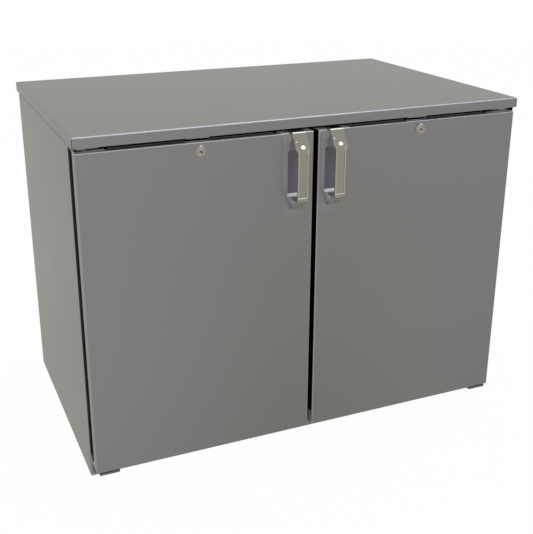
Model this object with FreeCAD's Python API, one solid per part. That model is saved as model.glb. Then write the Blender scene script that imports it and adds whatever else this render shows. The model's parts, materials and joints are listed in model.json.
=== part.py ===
import FreeCAD, Part
import math
import os

# Two-door back bar cooler, stainless outside, foamed walls, cooled by a remote condensing unit.
# Millimetres. +X to the right, +Y to the back, +Z up. The origin lies on the floor, under the
# middle of the worktop.

V = FreeCAD.Vector

# Overall sizes
cabinet_width = 1208.0
overall_height = 938.0
worktop_depth = 787.0

# Fits
fit_gap = 0.2            # between pieces that are only pushed or foamed together
soft_gap = 0.3           # between a soft seal and the face it seals on
running_gap = 0.06       # radial, between a turning piece and its pin or bore

# Worktop and the rails that lift it off the cabinet
worktop_overhang = 5.6
worktop_thickness = 26.0
worktop_sheet = 1.5
worktop_return = 32.0
worktop_radius = 2.0
rail_height = 11.0
rail_web = 2.5
rail_sheet = 2.0
rail_flange = 40.0
rail_front_setback = 8.0
rail_back_setback = 15.0

# Cabinet shell
skin_sheet = 1.2
wall_thickness = 52.0
edge_return = 14.0
top_lip = 12.0
base_sheet = 1.5
base_height = 54.5
base_lip = 8.0
liner_sheet = 1.0
floor_level = 84.0
frame_setback = 78.0     # worktop front to the face that the doors seal on
base_setback = 86.0      # worktop front to the front of the base
frame_depth = 18.0
frame_radius = 4.0
mullion_width = 56.0
mullion_depth = 50.0
mullion_radius = 8.0

# Doors
door_setback = 2.0
door_bottom = 58.0
door_top_gap = 0.5
door_gap = 13.0
door_radius = 2.5
door_pan_depth = 33.5
door_hem = 9.0
door_frame_depth = 28.5
door_frame_inset = 3.0
door_frame_width = 42.0
door_frame_end = 0.2     # between the frame and the hinge plates
door_liner_sheet = 1.2
door_liner_dish = 2.0
cap_drop = 4.0           # cap below the top of the door
cap_thickness = 3.5
cap_rib_height = 3.0
cap_rib_depth = 14.0
cap_rib_end = 8.0
gasket_width = 18.0
gasket_waist = 11.0
gasket_foot = 4.0
gasket_head = 5.0
gasket_side_inset = 22.0
gasket_centre_inset = 3.0
gasket_height_inset = 14.5
gasket_bottom_inset = 8.0

# Handles, each a cast strap over a scoop in the door
handle_centre = 52.0     # from the middle of the cooler
handle_width = 35.6
grip_width = 29.2
handle_reach = 38.0      # front of the door to the front of the grip
handle_rise = 3.3        # above the top of the door
handle_top_reach = 9.5   # front of the door to the front of the top flange
handle_thickness = 6.0
handle_flange = 19.5     # top flange behind the front of the door
handle_bend_drop = 37.5
handle_grip_drop = 169.5
handle_foot_drop = 198.0
handle_foot_height = 4.0
handle_neck = 6.0
grip_radius = 2.2
grip_panel_margin = 4.6
grip_panel_end = 10.0
grip_panel_depth = 0.8
handle_plate_width = 88.0
handle_plate_depth = 22.0
handle_notch_gap = 3.0
button_radius = 7.3
button_height = 1.8
button_place = 0.78      # share of the slanted face, from its top
scoop_half_width = 26.0
scoop_end_half_width = 13.0
scoop_top_drop = 11.0
scoop_top_shoulder = 35.0
scoop_bottom_shoulder = 32.0
scoop_depth = 14.0
scoop_draft = 7.0
scoop_top_ramp = 39.5
scoop_bottom_ramp = 32.0
scoop_radius = 18.0
scoop_run_on = 0.25      # share of a shoulder that the walls run past the ramps

# Locks
lock_drop = 21.8         # below the top of the door
lock_face_radius = 13.5
lock_face_height = 2.6
lock_barrel_half = 8.0     # the shank is square, so that it can't turn
lock_barrel_length = 21.0
lock_plug_radius = 6.0
lock_plug_proud = 0.4
lock_slot_width = 2.4
lock_slot_height = 8.0
lock_slot_depth = 6.0
lock_slot_turn = 35.0
lock_cam_setback = 26.0  # worktop front to the front of the cam
lock_cam_thickness = 3.0
lock_cam_length = 29.4
lock_cam_width = 12.0
lock_pocket_margin = 3.6
lock_pocket_drop = 12.0
strike_width = 58.0
strike_lip_height = 6.6
strike_lip_setback = 20.0
strike_sheet = 2.5
strike_leg = 26.0

# Hinges
pivot_inset = 19.0       # from the outer edge of the door
pivot_setback = 38.0     # from the worktop front
pin_radius = 4.0
pin_reach = 22.0         # into the door
bush_wall = 3.0
bush_flange_half = 10.0
bracket_plate = 6.3
upper_bracket_front = 20.0
lower_bracket_front = 5.0
bracket_outer_inset = 7.0
bracket_tip_width = 52.0
bracket_root_width = 77.0
bracket_leg_sheet = 3.0
upper_leg_drop = 62.0
lower_leg_drop = 40.0
door_plate_length = 72.0
door_plate_depth = 42.0

# Shelves
lower_shelf_level = 330.0
upper_shelf_level = 590.0
shelf_frame_wire = 7.0
shelf_wire = 4.0
shelf_wire_count = 10
shelf_bar_count = 3
shelf_wall_gap = 11.0
shelf_centre_gap = 12.0
shelf_front_gap = 13.0
shelf_back_gap = 13.5
standard_width = 16.0
standard_depth = 8.0
standard_sheet = 1.5
standard_bottom = 120.0
standard_top = 640.0
standard_offset = 18.0
standard_front = 112.0   # wall standards behind the liner's front edge
standard_back = 92.0     # wall standards in front of the liner's back
slot_pitch = 170.0
slot_width = 4.0
slot_height = 12.0
clip_width = 12.0
clip_tongue = 24.0
clip_leg = 22.0
clip_sheet = 2.5

# Evaporator unit on the back wall
evaporator_width = 500.0
evaporator_depth = 150.0
evaporator_height = 188.0
evaporator_sheet = 1.2
fan_hole_radius = 88.0
intake_slot_count = 7
intake_slot_width = 30.0
intake_slot_length = 36.0
guard_side = 182.0
guard_sheet = 2.0
guard_slot_count = 9
guard_slot_height = 11.0
guard_bar = 7.0
guard_rim = 6.0
fan_blade_reach = 74.0
fan_hub_radius = 21.0
fan_hub_sides = 10
fan_hub_length = 16.0
fan_blade_count = 5
fan_blade_thickness = 2.5
fan_blade_pitch = 18.0
fan_blade_chord = 44.0
fan_blade_bow = 4.0
motor_radius = 32.0
motor_sides = 8
motor_length = 38.0
motor_shaft_radius = 4.0
motor_clearance = 6.0
motor_plate = 3.0
motor_arm_width = 14.0
motor_foot = 3.0
motor_stud_circle = 97.0
coil_side_room = 40.0    # for the bends and pipes beside the coil
coil_depth = 62.0
coil_height = 128.0
coil_fin_count = 10
coil_core = 20.0
coil_bend_count = 3
coil_bend_reach = 12.0
coil_fin_sheet = 1.0
coil_tube_radius = 5.0
coil_back_gap = 8.0
coil_end_plate = 3.0
pan_height = 16.0
pan_sheet = 1.5
pan_side_gap = 6.0
pan_front_gap = 62.0
drain_half = 9.0         # the outlet is square outside, so that the foam holds it
drain_wall = 2.0
drain_offset = 150.0
line_spacing = 16.0
liquid_line_radius = 4.0
suction_line_radius = 6.0
sleeve_half = 16.0

# Thermostat and light
thermostat_width = 54.0
thermostat_height = 74.0
thermostat_depth = 16.0
thermostat_offset = 205.0
knob_radius = 19.0
knob_height = 15.0
knob_shaft_radius = 3.0
knob_shaft_length = 9.0
knob_sides = 12
knob_skirt = 4.0
knob_grip_width = 9.0
knob_stand = 0.6
light_length = 860.0
light_width = 30.0
light_height = 12.0
light_setback = 38.0
light_cap = 4.0

# Levels and planes that follow from those sizes
worktop_width = cabinet_width + 2 * worktop_overhang
x_side = cabinet_width / 2
y_front = -worktop_depth / 2
y_back = worktop_depth / 2
z_slab = overall_height - worktop_thickness
z_cabinet = z_slab - rail_height
y_frame = y_front + frame_setback
y_base = y_front + base_setback
x_inner = x_side - wall_thickness
y_liner = y_frame + frame_depth + fit_gap
y_inner = y_back - wall_thickness
z_ceiling = z_cabinet - wall_thickness
x_in_skin = x_side - skin_sheet - fit_gap
y_back_panel = y_back - skin_sheet
y_foam_back = y_back_panel - skin_sheet - fit_gap
z_foam_top = z_cabinet - skin_sheet - fit_gap
y_door = y_front + door_setback
y_pan = y_door + door_pan_depth
y_door_back = y_pan + door_frame_depth
z_door = z_cabinet - door_top_gap
z_cap = z_door - cap_drop
x_outer = -x_side
x_meet = -door_gap / 2
x_pivot = x_outer + pivot_inset
y_pivot = y_front + pivot_setback
bush_half = pin_radius + running_gap + bush_wall
x_lock = (x_outer + x_meet) / 2
z_lock = z_door - lock_drop
z_fan = z_ceiling - fit_gap - evaporator_height / 2
y_evaporator = y_inner - fit_gap - evaporator_depth
z_evaporator = z_ceiling - fit_gap - evaporator_height
y_fan = y_evaporator + evaporator_sheet + motor_clearance + fan_hub_length / 2
y_motor = y_fan + fan_hub_length / 2 + motor_clearance
z_pan = z_evaporator + evaporator_sheet
z_drain = z_pan + pan_height / 2 + pan_sheet
coil_back = y_inner - coil_back_gap
z_coil = z_pan + pan_height + (z_ceiling - z_pan - pan_height) / 2
coil_width = evaporator_width - 2 * coil_side_room
line_offset = coil_width / 2 + coil_bend_reach + suction_line_radius
LEFT, RIGHT = -1, 1


# Shape helpers

def box(x0, x1, y0, y1, z0, z1):
    return Part.makeBox(x1 - x0, y1 - y0, z1 - z0, V(x0, y0, z0))


def prism(corners, travel):
    wire = Part.makePolygon(corners + corners[:1])
    return Part.Face(wire).extrude(travel)


def plan_prism(points, z0, z1):
    return prism([V(x, y, z0) for x, y in points], V(0, 0, z1 - z0))


def side_prism(points, x0, x1):
    return prism([V(x0, y, z) for y, z in points], V(x1 - x0, 0, 0))


def front_prism(points, y0, y1):
    return prism([V(x, y0, z) for x, z in points], V(0, y1 - y0, 0))


def rod_y(radius, y0, y1, x, z):
    return Part.makeCylinder(radius, y1 - y0, V(x, y0, z), V(0, 1, 0))


def rod_z(radius, z0, z1, x, y):
    return Part.makeCylinder(radius, z1 - z0, V(x, y, z0), V(0, 0, 1))


def polygon(radius, sides, x, z):
    turns = [2 * math.pi * (i + 0.5) / sides for i in range(sides)]
    return [(x + radius * math.sin(turn), z + radius * math.cos(turn)) for turn in turns]


def fuse(*shapes):
    return shapes[0].multiFuse(list(shapes[1:])).removeSplitter()


def round_edges(shape, radius, wanted):
    return shape.makeFillet(radius, [edge for edge in shape.Edges if wanted(edge)])


def runs_along(edge, axis):
    box_of = edge.BoundBox
    lengths = {"x": box_of.XLength, "y": box_of.YLength, "z": box_of.ZLength}
    longest = lengths.pop(axis)
    return longest > 1e-6 and max(lengths.values()) < 1e-6


def near(value, target):
    return abs(value - target) < 1e-4


def handed(shape, side):
    return shape if side == LEFT else shape.mirror(V(0, 0, 0), V(1, 0, 0))


def both(shape):
    return [handed(shape, LEFT), handed(shape, RIGHT)]


def ring(x0, x1, y0, y1, z0, z1, width):
    hole = box(x0 + width, x1 - width, y0, y1, z0 + width, z1 - width)
    return box(x0, x1, y0, y1, z0, z1).cut(hole)


def save(name, *solids):
    shape = solids[0] if len(solids) == 1 else Part.makeCompound(list(solids))
    shape.exportStep("parts/" + name + ".step")


# Worktop: a folded pan over a filler board, on two channel rails

def worktop():
    half = worktop_width / 2
    slab = box(-half, half, y_front, y_back, z_slab, overall_height)
    slab = round_edges(slab, worktop_radius, lambda edge: near(edge.BoundBox.ZMin, overall_height))
    t = worktop_sheet
    hollow = box(t - half, half - t, y_front + t, y_back - t, z_slab + t, overall_height - t)
    r = worktop_return
    mouth = box(r - half, half - r, y_front + r, y_back - r, z_slab, z_slab + t)
    return slab.cut(hollow.fuse(mouth))


def worktop_core():
    inset = worktop_sheet + fit_gap
    half = worktop_width / 2 - inset
    return box(-half, half, y_front + inset, y_back - inset, z_slab + inset, overall_height - inset)


def top_rail():
    y0, y1 = y_front + rail_front_setback, y_back - rail_back_setback
    web = box(x_outer, x_outer + rail_web, y0, y1, z_cabinet, z_slab)
    inner = x_outer + rail_web + rail_flange
    foot = box(x_outer, inner, y_frame, y1, z_cabinet, z_cabinet + rail_sheet)
    head = box(x_outer, inner, y_frame, y1, z_slab - rail_sheet, z_slab)
    return fuse(web, foot, head)


# Cabinet shell and insulation

def side_panel():
    face, lip = x_outer + skin_sheet, x_outer + edge_return
    outline = [
        (x_outer, y_frame), (lip, y_frame), (lip, y_frame + skin_sheet), (face, y_frame + skin_sheet),
        (face, y_back_panel), (lip, y_back_panel), (lip, y_back), (x_outer, y_back),
    ]
    toe = box(x_outer, lip, y_frame, y_base, 0, base_height)
    return plan_prism(outline, 0, z_cabinet).cut(toe)


def square_bar(half, y0, y1, x, z):
    return box(x - half, x + half, y0, y1, z - half, z + half)


def wall_passages():
    drain = square_bar(drain_half + fit_gap, y_inner, y_back, -drain_offset, z_drain)
    lines = square_bar(sleeve_half + fit_gap, y_inner, y_back, line_offset, z_coil)
    return [drain, lines]


def back_panel():
    sheet = box(-x_in_skin, x_in_skin, y_back_panel - skin_sheet, y_back_panel, 0, z_cabinet)
    return sheet.cut(wall_passages())


def base_pan():
    t, top = base_sheet, base_height
    outline = [
        (y_base, 0), (y_foam_back, 0), (y_foam_back, t), (y_base + t, t), (y_base + t, top - t),
        (y_base + base_lip, top - t), (y_base + base_lip, top), (y_base, top),
    ]
    return side_prism(outline, -x_in_skin, x_in_skin)


def top_panel():
    t, z0 = skin_sheet, z_cabinet - skin_sheet
    sheet = box(-x_in_skin, x_in_skin, y_frame + t + fit_gap, y_foam_back, z0, z_cabinet)
    inner = x_side - edge_return - fit_gap
    nose = box(-inner, inner, y_frame - t, y_frame + t + fit_gap, z0, z_cabinet)
    lip = box(-inner, inner, y_frame - t, y_frame, z_cabinet - top_lip, z_cabinet)
    return fuse(sheet, nose, lip)


def insulation():
    block = box(-x_in_skin, x_in_skin, y_liner, y_foam_back, base_sheet + fit_gap, z_foam_top)
    t = liner_sheet + fit_gap
    half = x_inner + t
    room = box(-half, half, y_liner, y_inner + t, floor_level - t, z_ceiling + t)
    return block.cut([room] + wall_passages())


def liner_side():
    t = liner_sheet
    return box(-x_inner - t, -x_inner, y_liner, y_inner + t, floor_level - t, z_ceiling + t)


def liner_back():
    half, g = x_inner - fit_gap, fit_gap
    sheet = box(-half, half, y_inner, y_inner + liner_sheet, floor_level + g, z_ceiling - g)
    return sheet.cut(wall_passages())


def liner_ceiling():
    half, y1 = x_inner - fit_gap, y_inner + liner_sheet
    return box(-half, half, y_liner, y1, z_ceiling, z_ceiling + liner_sheet)


def liner_floor():
    half, y1 = x_inner - fit_gap, y_inner + liner_sheet
    return box(-half, half, y_liner, y1, floor_level - liner_sheet, floor_level)


# Front frame that the doors seal on

def frame_stile():
    lip = x_outer + edge_return + fit_gap
    back, step = y_frame + frame_depth, y_frame + skin_sheet + fit_gap
    outline = [
        (-x_inner, y_frame), (lip, y_frame), (lip, step),
        (-x_in_skin, step), (-x_in_skin, back), (-x_inner, back),
    ]
    stile = plan_prism(outline, base_height + fit_gap, z_foam_top)
    nose = lambda edge: runs_along(edge, "z") and near(edge.BoundBox.XMin, -x_inner)
    front_nose = lambda edge: nose(edge) and near(edge.BoundBox.YMin, y_frame)
    return round_edges(stile, frame_radius, front_nose)


def frame_rail(z0, z1, nose_z):
    half = x_inner - fit_gap
    rail = box(-half, half, y_frame, y_frame + frame_depth, z0, z1)
    front = lambda edge: runs_along(edge, "x") and near(edge.BoundBox.YMin, y_frame)
    return round_edges(rail, frame_radius, lambda edge: front(edge) and near(edge.BoundBox.ZMin, nose_z))


def centre_mullion():
    half = mullion_width / 2
    post = box(-half, half, y_frame, y_frame + mullion_depth, floor_level + fit_gap, z_ceiling - fit_gap)
    back = lambda edge: runs_along(edge, "z") and near(edge.BoundBox.YMin, y_frame + mullion_depth)
    return round_edges(post, mullion_radius, back)


# Hinges: plates under the worktop and under the doors, with fixed pins

def bracket_plan(y_tip, y_root):
    x0 = x_outer + bracket_outer_inset
    return [(x0, y_tip), (x0 + bracket_tip_width, y_tip), (x0 + bracket_root_width, y_root), (x0, y_root)]


def upper_bracket():
    y_root = y_frame - fit_gap
    plate = plan_prism(bracket_plan(y_front + upper_bracket_front, y_root), z_slab - bracket_plate, z_slab)
    x0, x1 = x_outer + rail_web + fit_gap, x_outer + edge_return
    leg = box(x0, x1, y_root - bracket_leg_sheet, y_root, z_slab - upper_leg_drop, z_slab)
    pin = rod_z(pin_radius, z_door - pin_reach, z_slab, x_pivot, y_pivot)
    return fuse(plate, leg, pin)


def lower_bracket():
    y_root = y_base - fit_gap
    top = base_height
    plate = plan_prism(bracket_plan(y_front + lower_bracket_front, y_root), top - bracket_plate, top)
    x0 = x_outer + bracket_outer_inset
    x1 = x0 + bracket_tip_width
    leg = box(x0, x1, y_root - bracket_leg_sheet, y_root, top - bracket_plate - lower_leg_drop, top)
    pin = rod_z(pin_radius, top - bracket_plate, door_bottom + pin_reach, x_pivot, y_pivot)
    return fuse(plate, leg, pin)


def pivot_block(half, z0, z1):
    low, high = min(z0, z1), max(z0, z1)
    return box(x_pivot - half, x_pivot + half, y_pivot - half, y_pivot + half, low, high)


def bush(z_seat, z_mouth, z_tip):
    shank = pivot_block(bush_half, z_mouth, z_tip)
    flange = pivot_block(bush_flange_half, z_seat, z_mouth)
    bore = rod_z(pin_radius + running_gap, min(z_seat, z_tip), max(z_seat, z_tip), x_pivot, y_pivot)
    return fuse(shank, flange).cut(bore)


def bushes():
    upper = bush(z_slab - bracket_plate - fit_gap, z_door, z_door - pin_reach - fit_gap)
    lower = bush(base_height + fit_gap, door_bottom, door_bottom + pin_reach + fit_gap)
    return [upper, lower]


def bush_holes():
    half, depth = bush_half + fit_gap, pin_reach + 2 * fit_gap
    upper = pivot_block(half, z_door - depth, z_door)
    lower = pivot_block(half, door_bottom, door_bottom + depth)
    return [upper, lower]


def door_plate(z0, z1, grow=0):
    x0 = x_outer + skin_sheet + fit_gap
    y0 = y_door + door_hem + fit_gap
    x1, y1 = x0 + door_plate_length, y0 + door_plate_depth
    return box(x0 - grow, x1 + grow, y0 - grow, y1 + grow, z0 - grow, z1 + grow)


def lower_plate(grow=0):
    z0 = door_bottom + skin_sheet + fit_gap
    return door_plate(z0, z0 + cap_drop, grow)


def door_plates():
    return [plate.cut(bush_holes()) for plate in (door_plate(z_cap, z_door), lower_plate())]


# Door: folded outer pan with a scoop behind the handle, foam, plastic frame, inner liner and seal

def scoop_levels(grow):
    z_foot = z_door - handle_foot_drop + handle_foot_height
    return z_foot - grow, z_door - scoop_top_drop + grow


def scoop_wire(grow, inset, y):
    z0, z1 = scoop_levels(grow)
    half = scoop_half_width + grow - inset
    tip = half - (scoop_half_width - scoop_end_half_width) * (1 + scoop_run_on)
    top, bottom = scoop_top_shoulder, scoop_bottom_shoulder
    right = [
        (tip, z1 + top * scoop_run_on), (half, z1 - top),
        (half, z0 + bottom), (tip, z0 - bottom * scoop_run_on),
    ]
    left = [(-x, z) for x, z in reversed(right)]
    corners = [V(x - handle_centre, y, z) for x, z in right + left]
    return Part.makePolygon(corners + corners[:1])


def scoop(grow=0):
    z0, z1 = scoop_levels(grow)
    y_floor = y_door + scoop_depth + grow
    walls = Part.makeLoft([scoop_wire(grow, 0, y_door), scoop_wire(grow, scoop_draft, y_floor)], True, True)
    reach = [
        (y_door, z1), (y_floor, z1 - scoop_top_ramp), (y_floor, z0 + scoop_bottom_ramp), (y_door, z0),
    ]
    half = scoop_half_width + grow
    ramps = side_prism(reach, -handle_centre - half, half - handle_centre)
    on_floor = lambda edge: runs_along(edge, "x") and near(edge.BoundBox.YMin, y_floor)
    return walls.common(round_edges(ramps, scoop_radius, on_floor))


def door_skin():
    t = skin_sheet
    pan = box(x_outer, x_meet, y_door, y_pan, door_bottom, z_door)
    in_front = lambda edge: near(edge.BoundBox.YMin, y_door) and near(edge.BoundBox.YMax, y_door)
    pan = round_edges(pan, door_radius, in_front)
    hollow = box(x_outer + t, x_meet - t, y_door + t, y_pan, door_bottom + t, z_door - t)
    mouth = box(x_outer + t, x_meet - t, y_door + door_hem, y_pan, z_door - t, z_door)
    pan = pan.cut(hollow.fuse(mouth))
    pan = pan.fuse(scoop(t)).cut(scoop())
    half = handle_width / 2 + handle_notch_gap
    z_notch = z_door + handle_rise - handle_thickness - fit_gap
    notch = box(-handle_centre - half, half - handle_centre, y_door, y_door + door_hem, z_notch, z_door)
    r = lock_barrel_half + fit_gap
    lock_hole = box(x_lock - r, x_lock + r, y_door, y_door + t, z_lock - r, z_lock + r)
    return pan.cut([notch, lock_hole] + bush_holes())


def lock_pocket():
    half = lock_cam_length + lock_pocket_margin
    y0 = y_door + skin_sheet
    y1 = y_front + lock_cam_setback + lock_cam_thickness + lock_pocket_margin
    return box(x_lock - half, x_lock + half, y0, y1, z_lock - lock_pocket_drop, z_door)


def door_liner_box(inset, y1):
    x0 = x_outer + door_frame_inset + door_frame_width + inset
    x1 = x_meet - door_frame_inset - door_frame_width - inset
    z0, z1 = door_frame_levels()
    return box(x0, x1, y_pan, y1, z0 + door_frame_width + inset, z1 - door_frame_width - inset)


def door_frame_levels():
    plates = skin_sheet + fit_gap + cap_drop + door_frame_end
    return door_bottom + plates, z_cap - door_frame_end


def door_core():
    t = skin_sheet + fit_gap
    z1 = z_cap - cap_thickness - fit_gap
    block = box(x_outer + t, x_meet - t, y_door + t, y_pan, door_bottom + t, z1)
    lining = fit_gap + door_liner_sheet
    tray = door_liner_box(lining + fit_gap, y_door_back - door_liner_dish - lining)
    cuts = [scoop(t), lock_pocket(), lower_plate(fit_gap)] + bush_holes()
    return block.fuse(tray).cut(cuts)


def door_cap():
    t = skin_sheet + fit_gap
    y0, y1 = y_door + t, y_pan - fit_gap
    plate = box(x_outer + t, x_meet - t, y0, y1, z_cap - cap_thickness, z_cap)
    x0 = x_outer + t + door_plate_length + cap_rib_end
    x1 = -handle_centre - handle_plate_width / 2 - cap_rib_end
    half = lock_cam_length + lock_pocket_margin
    ribs = []
    for start, end in ((x0, x_lock - half), (x_lock + half, x1)):
        ribs.append(box(start, end, y1 - cap_rib_depth, y1, z_cap, z_cap + cap_rib_height))
    return fuse(plate, *ribs).cut([lock_pocket()] + bush_holes())


def door_frame():
    z0, z1 = door_frame_levels()
    x0, x1 = x_outer + door_frame_inset, x_meet - door_frame_inset
    frame = ring(x0, x1, y_pan, y_door_back, z0, z1, door_frame_width)
    return frame.cut(bush_holes())


def door_liner():
    tray = door_liner_box(fit_gap, y_door_back - door_liner_dish)
    hollow = door_liner_box(fit_gap + door_liner_sheet, y_door_back - door_liner_dish - door_liner_sheet)
    return tray.cut(hollow)


def gasket():
    x0, x1 = x_outer + gasket_side_inset, x_meet - gasket_centre_inset
    z0, z1 = door_bottom + gasket_bottom_inset, z_door - gasket_height_inset
    y0, y1 = y_door_back, y_frame - soft_gap
    foot = ring(x0, x1, y0, y0 + gasket_foot, z0, z1, gasket_width)
    head = ring(x0, x1, y1 - gasket_head, y1, z0, z1, gasket_width)
    inset = (gasket_width - gasket_waist) / 2
    y2, y3 = y0 + gasket_foot, y1 - gasket_head
    waist = ring(x0 + inset, x1 - inset, y2, y3, z0 + inset, z1 - inset, gasket_waist)
    return fuse(foot, waist, head)


# Handle: a strap bent over the door's top edge, cut to its front outline

def line_meet(p, u, q, v):
    across = u[0] * v[1] - u[1] * v[0]
    along = ((q[0] - p[0]) * v[1] - (q[1] - p[1]) * v[0]) / across
    return (p[0] + along * u[0], p[1] + along * u[1])


def strap_outline(path, thickness):
    lines = []
    for (y0, z0), (y1, z1) in zip(path, path[1:]):
        length = math.hypot(y1 - y0, z1 - z0)
        u = ((y1 - y0) / length, (z1 - z0) / length)
        lines.append(((y0 - u[1] * thickness, z0 + u[0] * thickness), u))
    inner = [lines[0][0]]
    for (p, u), (q, v) in zip(lines, lines[1:]):
        inner.append(line_meet(p, u, q, v))
    last, u = lines[-1]
    inner.append(line_meet(last, u, (y_door, 0), (0, 1)))
    return path + inner[::-1]


def handle_path():
    z_top = z_door + handle_rise
    y_grip = y_door - handle_reach
    z_foot = z_door - handle_foot_drop
    return [
        (y_door + handle_flange, z_top), (y_door - handle_top_reach, z_top),
        (y_grip, z_door - handle_bend_drop), (y_grip, z_door - handle_grip_drop),
        (y_door - handle_foot_height, z_foot), (y_door, z_foot),
    ]


def handle():
    path = handle_path()
    outline = strap_outline(path[:-1], handle_thickness)
    outline.insert(len(path) - 1, path[-1])
    half, grip = handle_width / 2, grip_width / 2
    y_grip, z_bend = path[2]
    z_grip = path[3][1]
    z_neck = z_bend - handle_neck
    z_low, z_high = z_door - handle_foot_drop, z_door + handle_rise
    front = [
        (-half, z_high), (half, z_high), (half, z_bend), (grip, z_neck), (grip, z_low),
        (-grip, z_low), (-grip, z_neck), (-half, z_bend),
    ]
    y_deep = y_door + door_pan_depth
    strap = side_prism(outline, -half, half).common(front_prism(front, y_grip, y_deep))
    long_edge = lambda edge: runs_along(edge, "z") and near(abs(edge.BoundBox.XMin), grip)
    strap = round_edges(strap, grip_radius, long_edge)
    side = grip - grip_panel_margin
    z0, z1 = z_grip + grip_panel_end, z_neck - grip_panel_end / 2
    panel = box(-side, side, y_grip, y_grip + grip_panel_depth, z0, z1)
    y0 = y_door + door_hem + fit_gap
    wide = handle_plate_width / 2
    plate = box(-wide, wide, y0, y0 + handle_plate_depth, z_cap, z_door)
    return fuse(strap.cut(panel), plate)


def handle_button():
    (y0, z0), (y1, z1) = handle_path()[1:3]
    length = math.hypot(y1 - y0, z1 - z0)
    normal = V(0, (z1 - z0) / length, (y0 - y1) / length)
    seat = V(0, y0 + (y1 - y0) * button_place, z0 + (z1 - z0) * button_place)
    return Part.makeCylinder(button_radius, button_height, seat, normal)


# Locks: a barrel through the door, a plug with a cam that turns up behind a strike

def lock_barrel():
    y0, y1 = y_door - lock_face_height, y_door + lock_barrel_length
    face = rod_y(lock_face_radius, y0, y_door, x_lock, z_lock)
    r = lock_barrel_half
    shank = box(x_lock - r, x_lock + r, y_door, y1, z_lock - r, z_lock + r)
    bore = rod_y(lock_plug_radius + running_gap, y0, y1, x_lock, z_lock)
    return fuse(face, shank).cut(bore)


def lock_plug():
    y0 = y_door - lock_face_height - lock_plug_proud
    y_cam = y_front + lock_cam_setback
    plug = rod_y(lock_plug_radius, y0, y_cam + lock_cam_thickness, x_lock, z_lock)
    w, h = lock_slot_width / 2, lock_slot_height / 2
    slot = box(x_lock - w, x_lock + w, y0, y0 + lock_slot_depth, z_lock - h, z_lock + h)
    slot.rotate(V(x_lock, y0, z_lock), V(0, 1, 0), lock_slot_turn)
    r, tip = lock_cam_width / 2, x_lock - lock_cam_length
    cam = box(tip, x_lock + r, y_cam, y_cam + lock_cam_thickness, z_lock - r, z_lock + r)
    cam = cam.makeChamfer(r / 2, [edge for edge in cam.Edges if runs_along(edge, "y")])
    return fuse(plug.cut(slot), cam)


def strike():
    x0, x1 = x_lock - strike_width / 2, x_lock + strike_width / 2
    y0 = y_front + strike_lip_setback
    lip = box(x0, x1, y0, y0 + strike_sheet, z_slab - strike_lip_height, z_slab)
    leg = box(x0, x1, y0, y0 + strike_leg, z_slab - strike_sheet, z_slab)
    return fuse(lip, leg)


# Shelves on slotted standards

def standard(turn, place):
    w, d, t = standard_width / 2, standard_depth, standard_sheet
    outline = [(0, -w), (d, -w), (d, w), (0, w), (0, w - t), (d - t, w - t), (d - t, t - w), (0, t - w)]
    channel = plan_prism(outline, standard_bottom, standard_top)
    count = int((standard_top - standard_bottom) / slot_pitch)
    for i in range(count):
        z = standard_bottom + (i + 0.5) * slot_pitch
        half = slot_width / 2
        channel = channel.cut(box(0, d, -half, half, z - slot_height / 2, z + slot_height / 2))
    channel.rotate(V(0, 0, 0), V(0, 0, 1), turn)
    channel.translate(V(place[0], place[1], 0))
    return channel


def clip(turn, place, z):
    d, w, t = standard_depth, clip_width / 2, clip_sheet
    tongue = box(d, d + clip_tongue, -w, w, z - t, z)
    leg = box(d, d + t, -w, w, z - clip_leg, z)
    piece = tongue.fuse(leg)
    piece.rotate(V(0, 0, 0), V(0, 0, 1), turn)
    piece.translate(V(place[0], place[1], 0))
    return piece.removeSplitter()


def shelf_supports():
    y0, y1 = y_liner + standard_front, y_inner - standard_back
    return [
        (0, (-x_inner, y0)), (0, (-x_inner, y1)),
        (90, (-standard_offset, y_frame + mullion_depth)), (-90, (-standard_offset, y_inner)),
    ]


def shelf():
    r, w = shelf_frame_wire, shelf_wire
    x0, x1 = -x_inner + shelf_wall_gap, -shelf_centre_gap
    y0, y1 = y_frame + mullion_depth + shelf_front_gap, y_inner - shelf_back_gap
    bar_pitch = (y1 - y0 - r) / (shelf_bar_count - 1)
    pitch = (x1 - x0 - w) / (shelf_wire_count - 1)
    pieces = []
    for i in range(shelf_bar_count):
        y = y0 + bar_pitch * i
        pieces.append(box(x0, x1, y, y + r, 0, r))
    for i in range(shelf_wire_count):
        x = x0 + pitch * i
        pieces.append(box(x, x + w, y0, y1, r, r + w))
    return fuse(*pieces)


def shelf_at(level):
    piece = shelf()
    piece.translate(V(0, 0, level))
    return piece


# Evaporator unit: cover, guard, fan, coil, drain and pipe stubs

def evaporator_housing():
    half, t = evaporator_width / 2, evaporator_sheet
    y1, z1 = y_inner - fit_gap, z_ceiling - fit_gap
    cover = box(-half, half, y_evaporator, y1, z_evaporator, z1)
    hollow = box(t - half, half - t, y_evaporator + t, y1, z_evaporator + t, z1)
    fan_hole = rod_y(fan_hole_radius, y_evaporator, y_evaporator + t, 0, z_fan)
    pitch = evaporator_width / (intake_slot_count + 1)
    y0, w = y_evaporator + intake_slot_width / 2, intake_slot_width / 2
    slots = []
    for i in range(intake_slot_count):
        x = pitch * (i + 1) - half
        slots.append(box(x - w, x + w, y0, y0 + intake_slot_length, z_evaporator, z_evaporator + t))
    return cover.cut([hollow, fan_hole] + slots)


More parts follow.
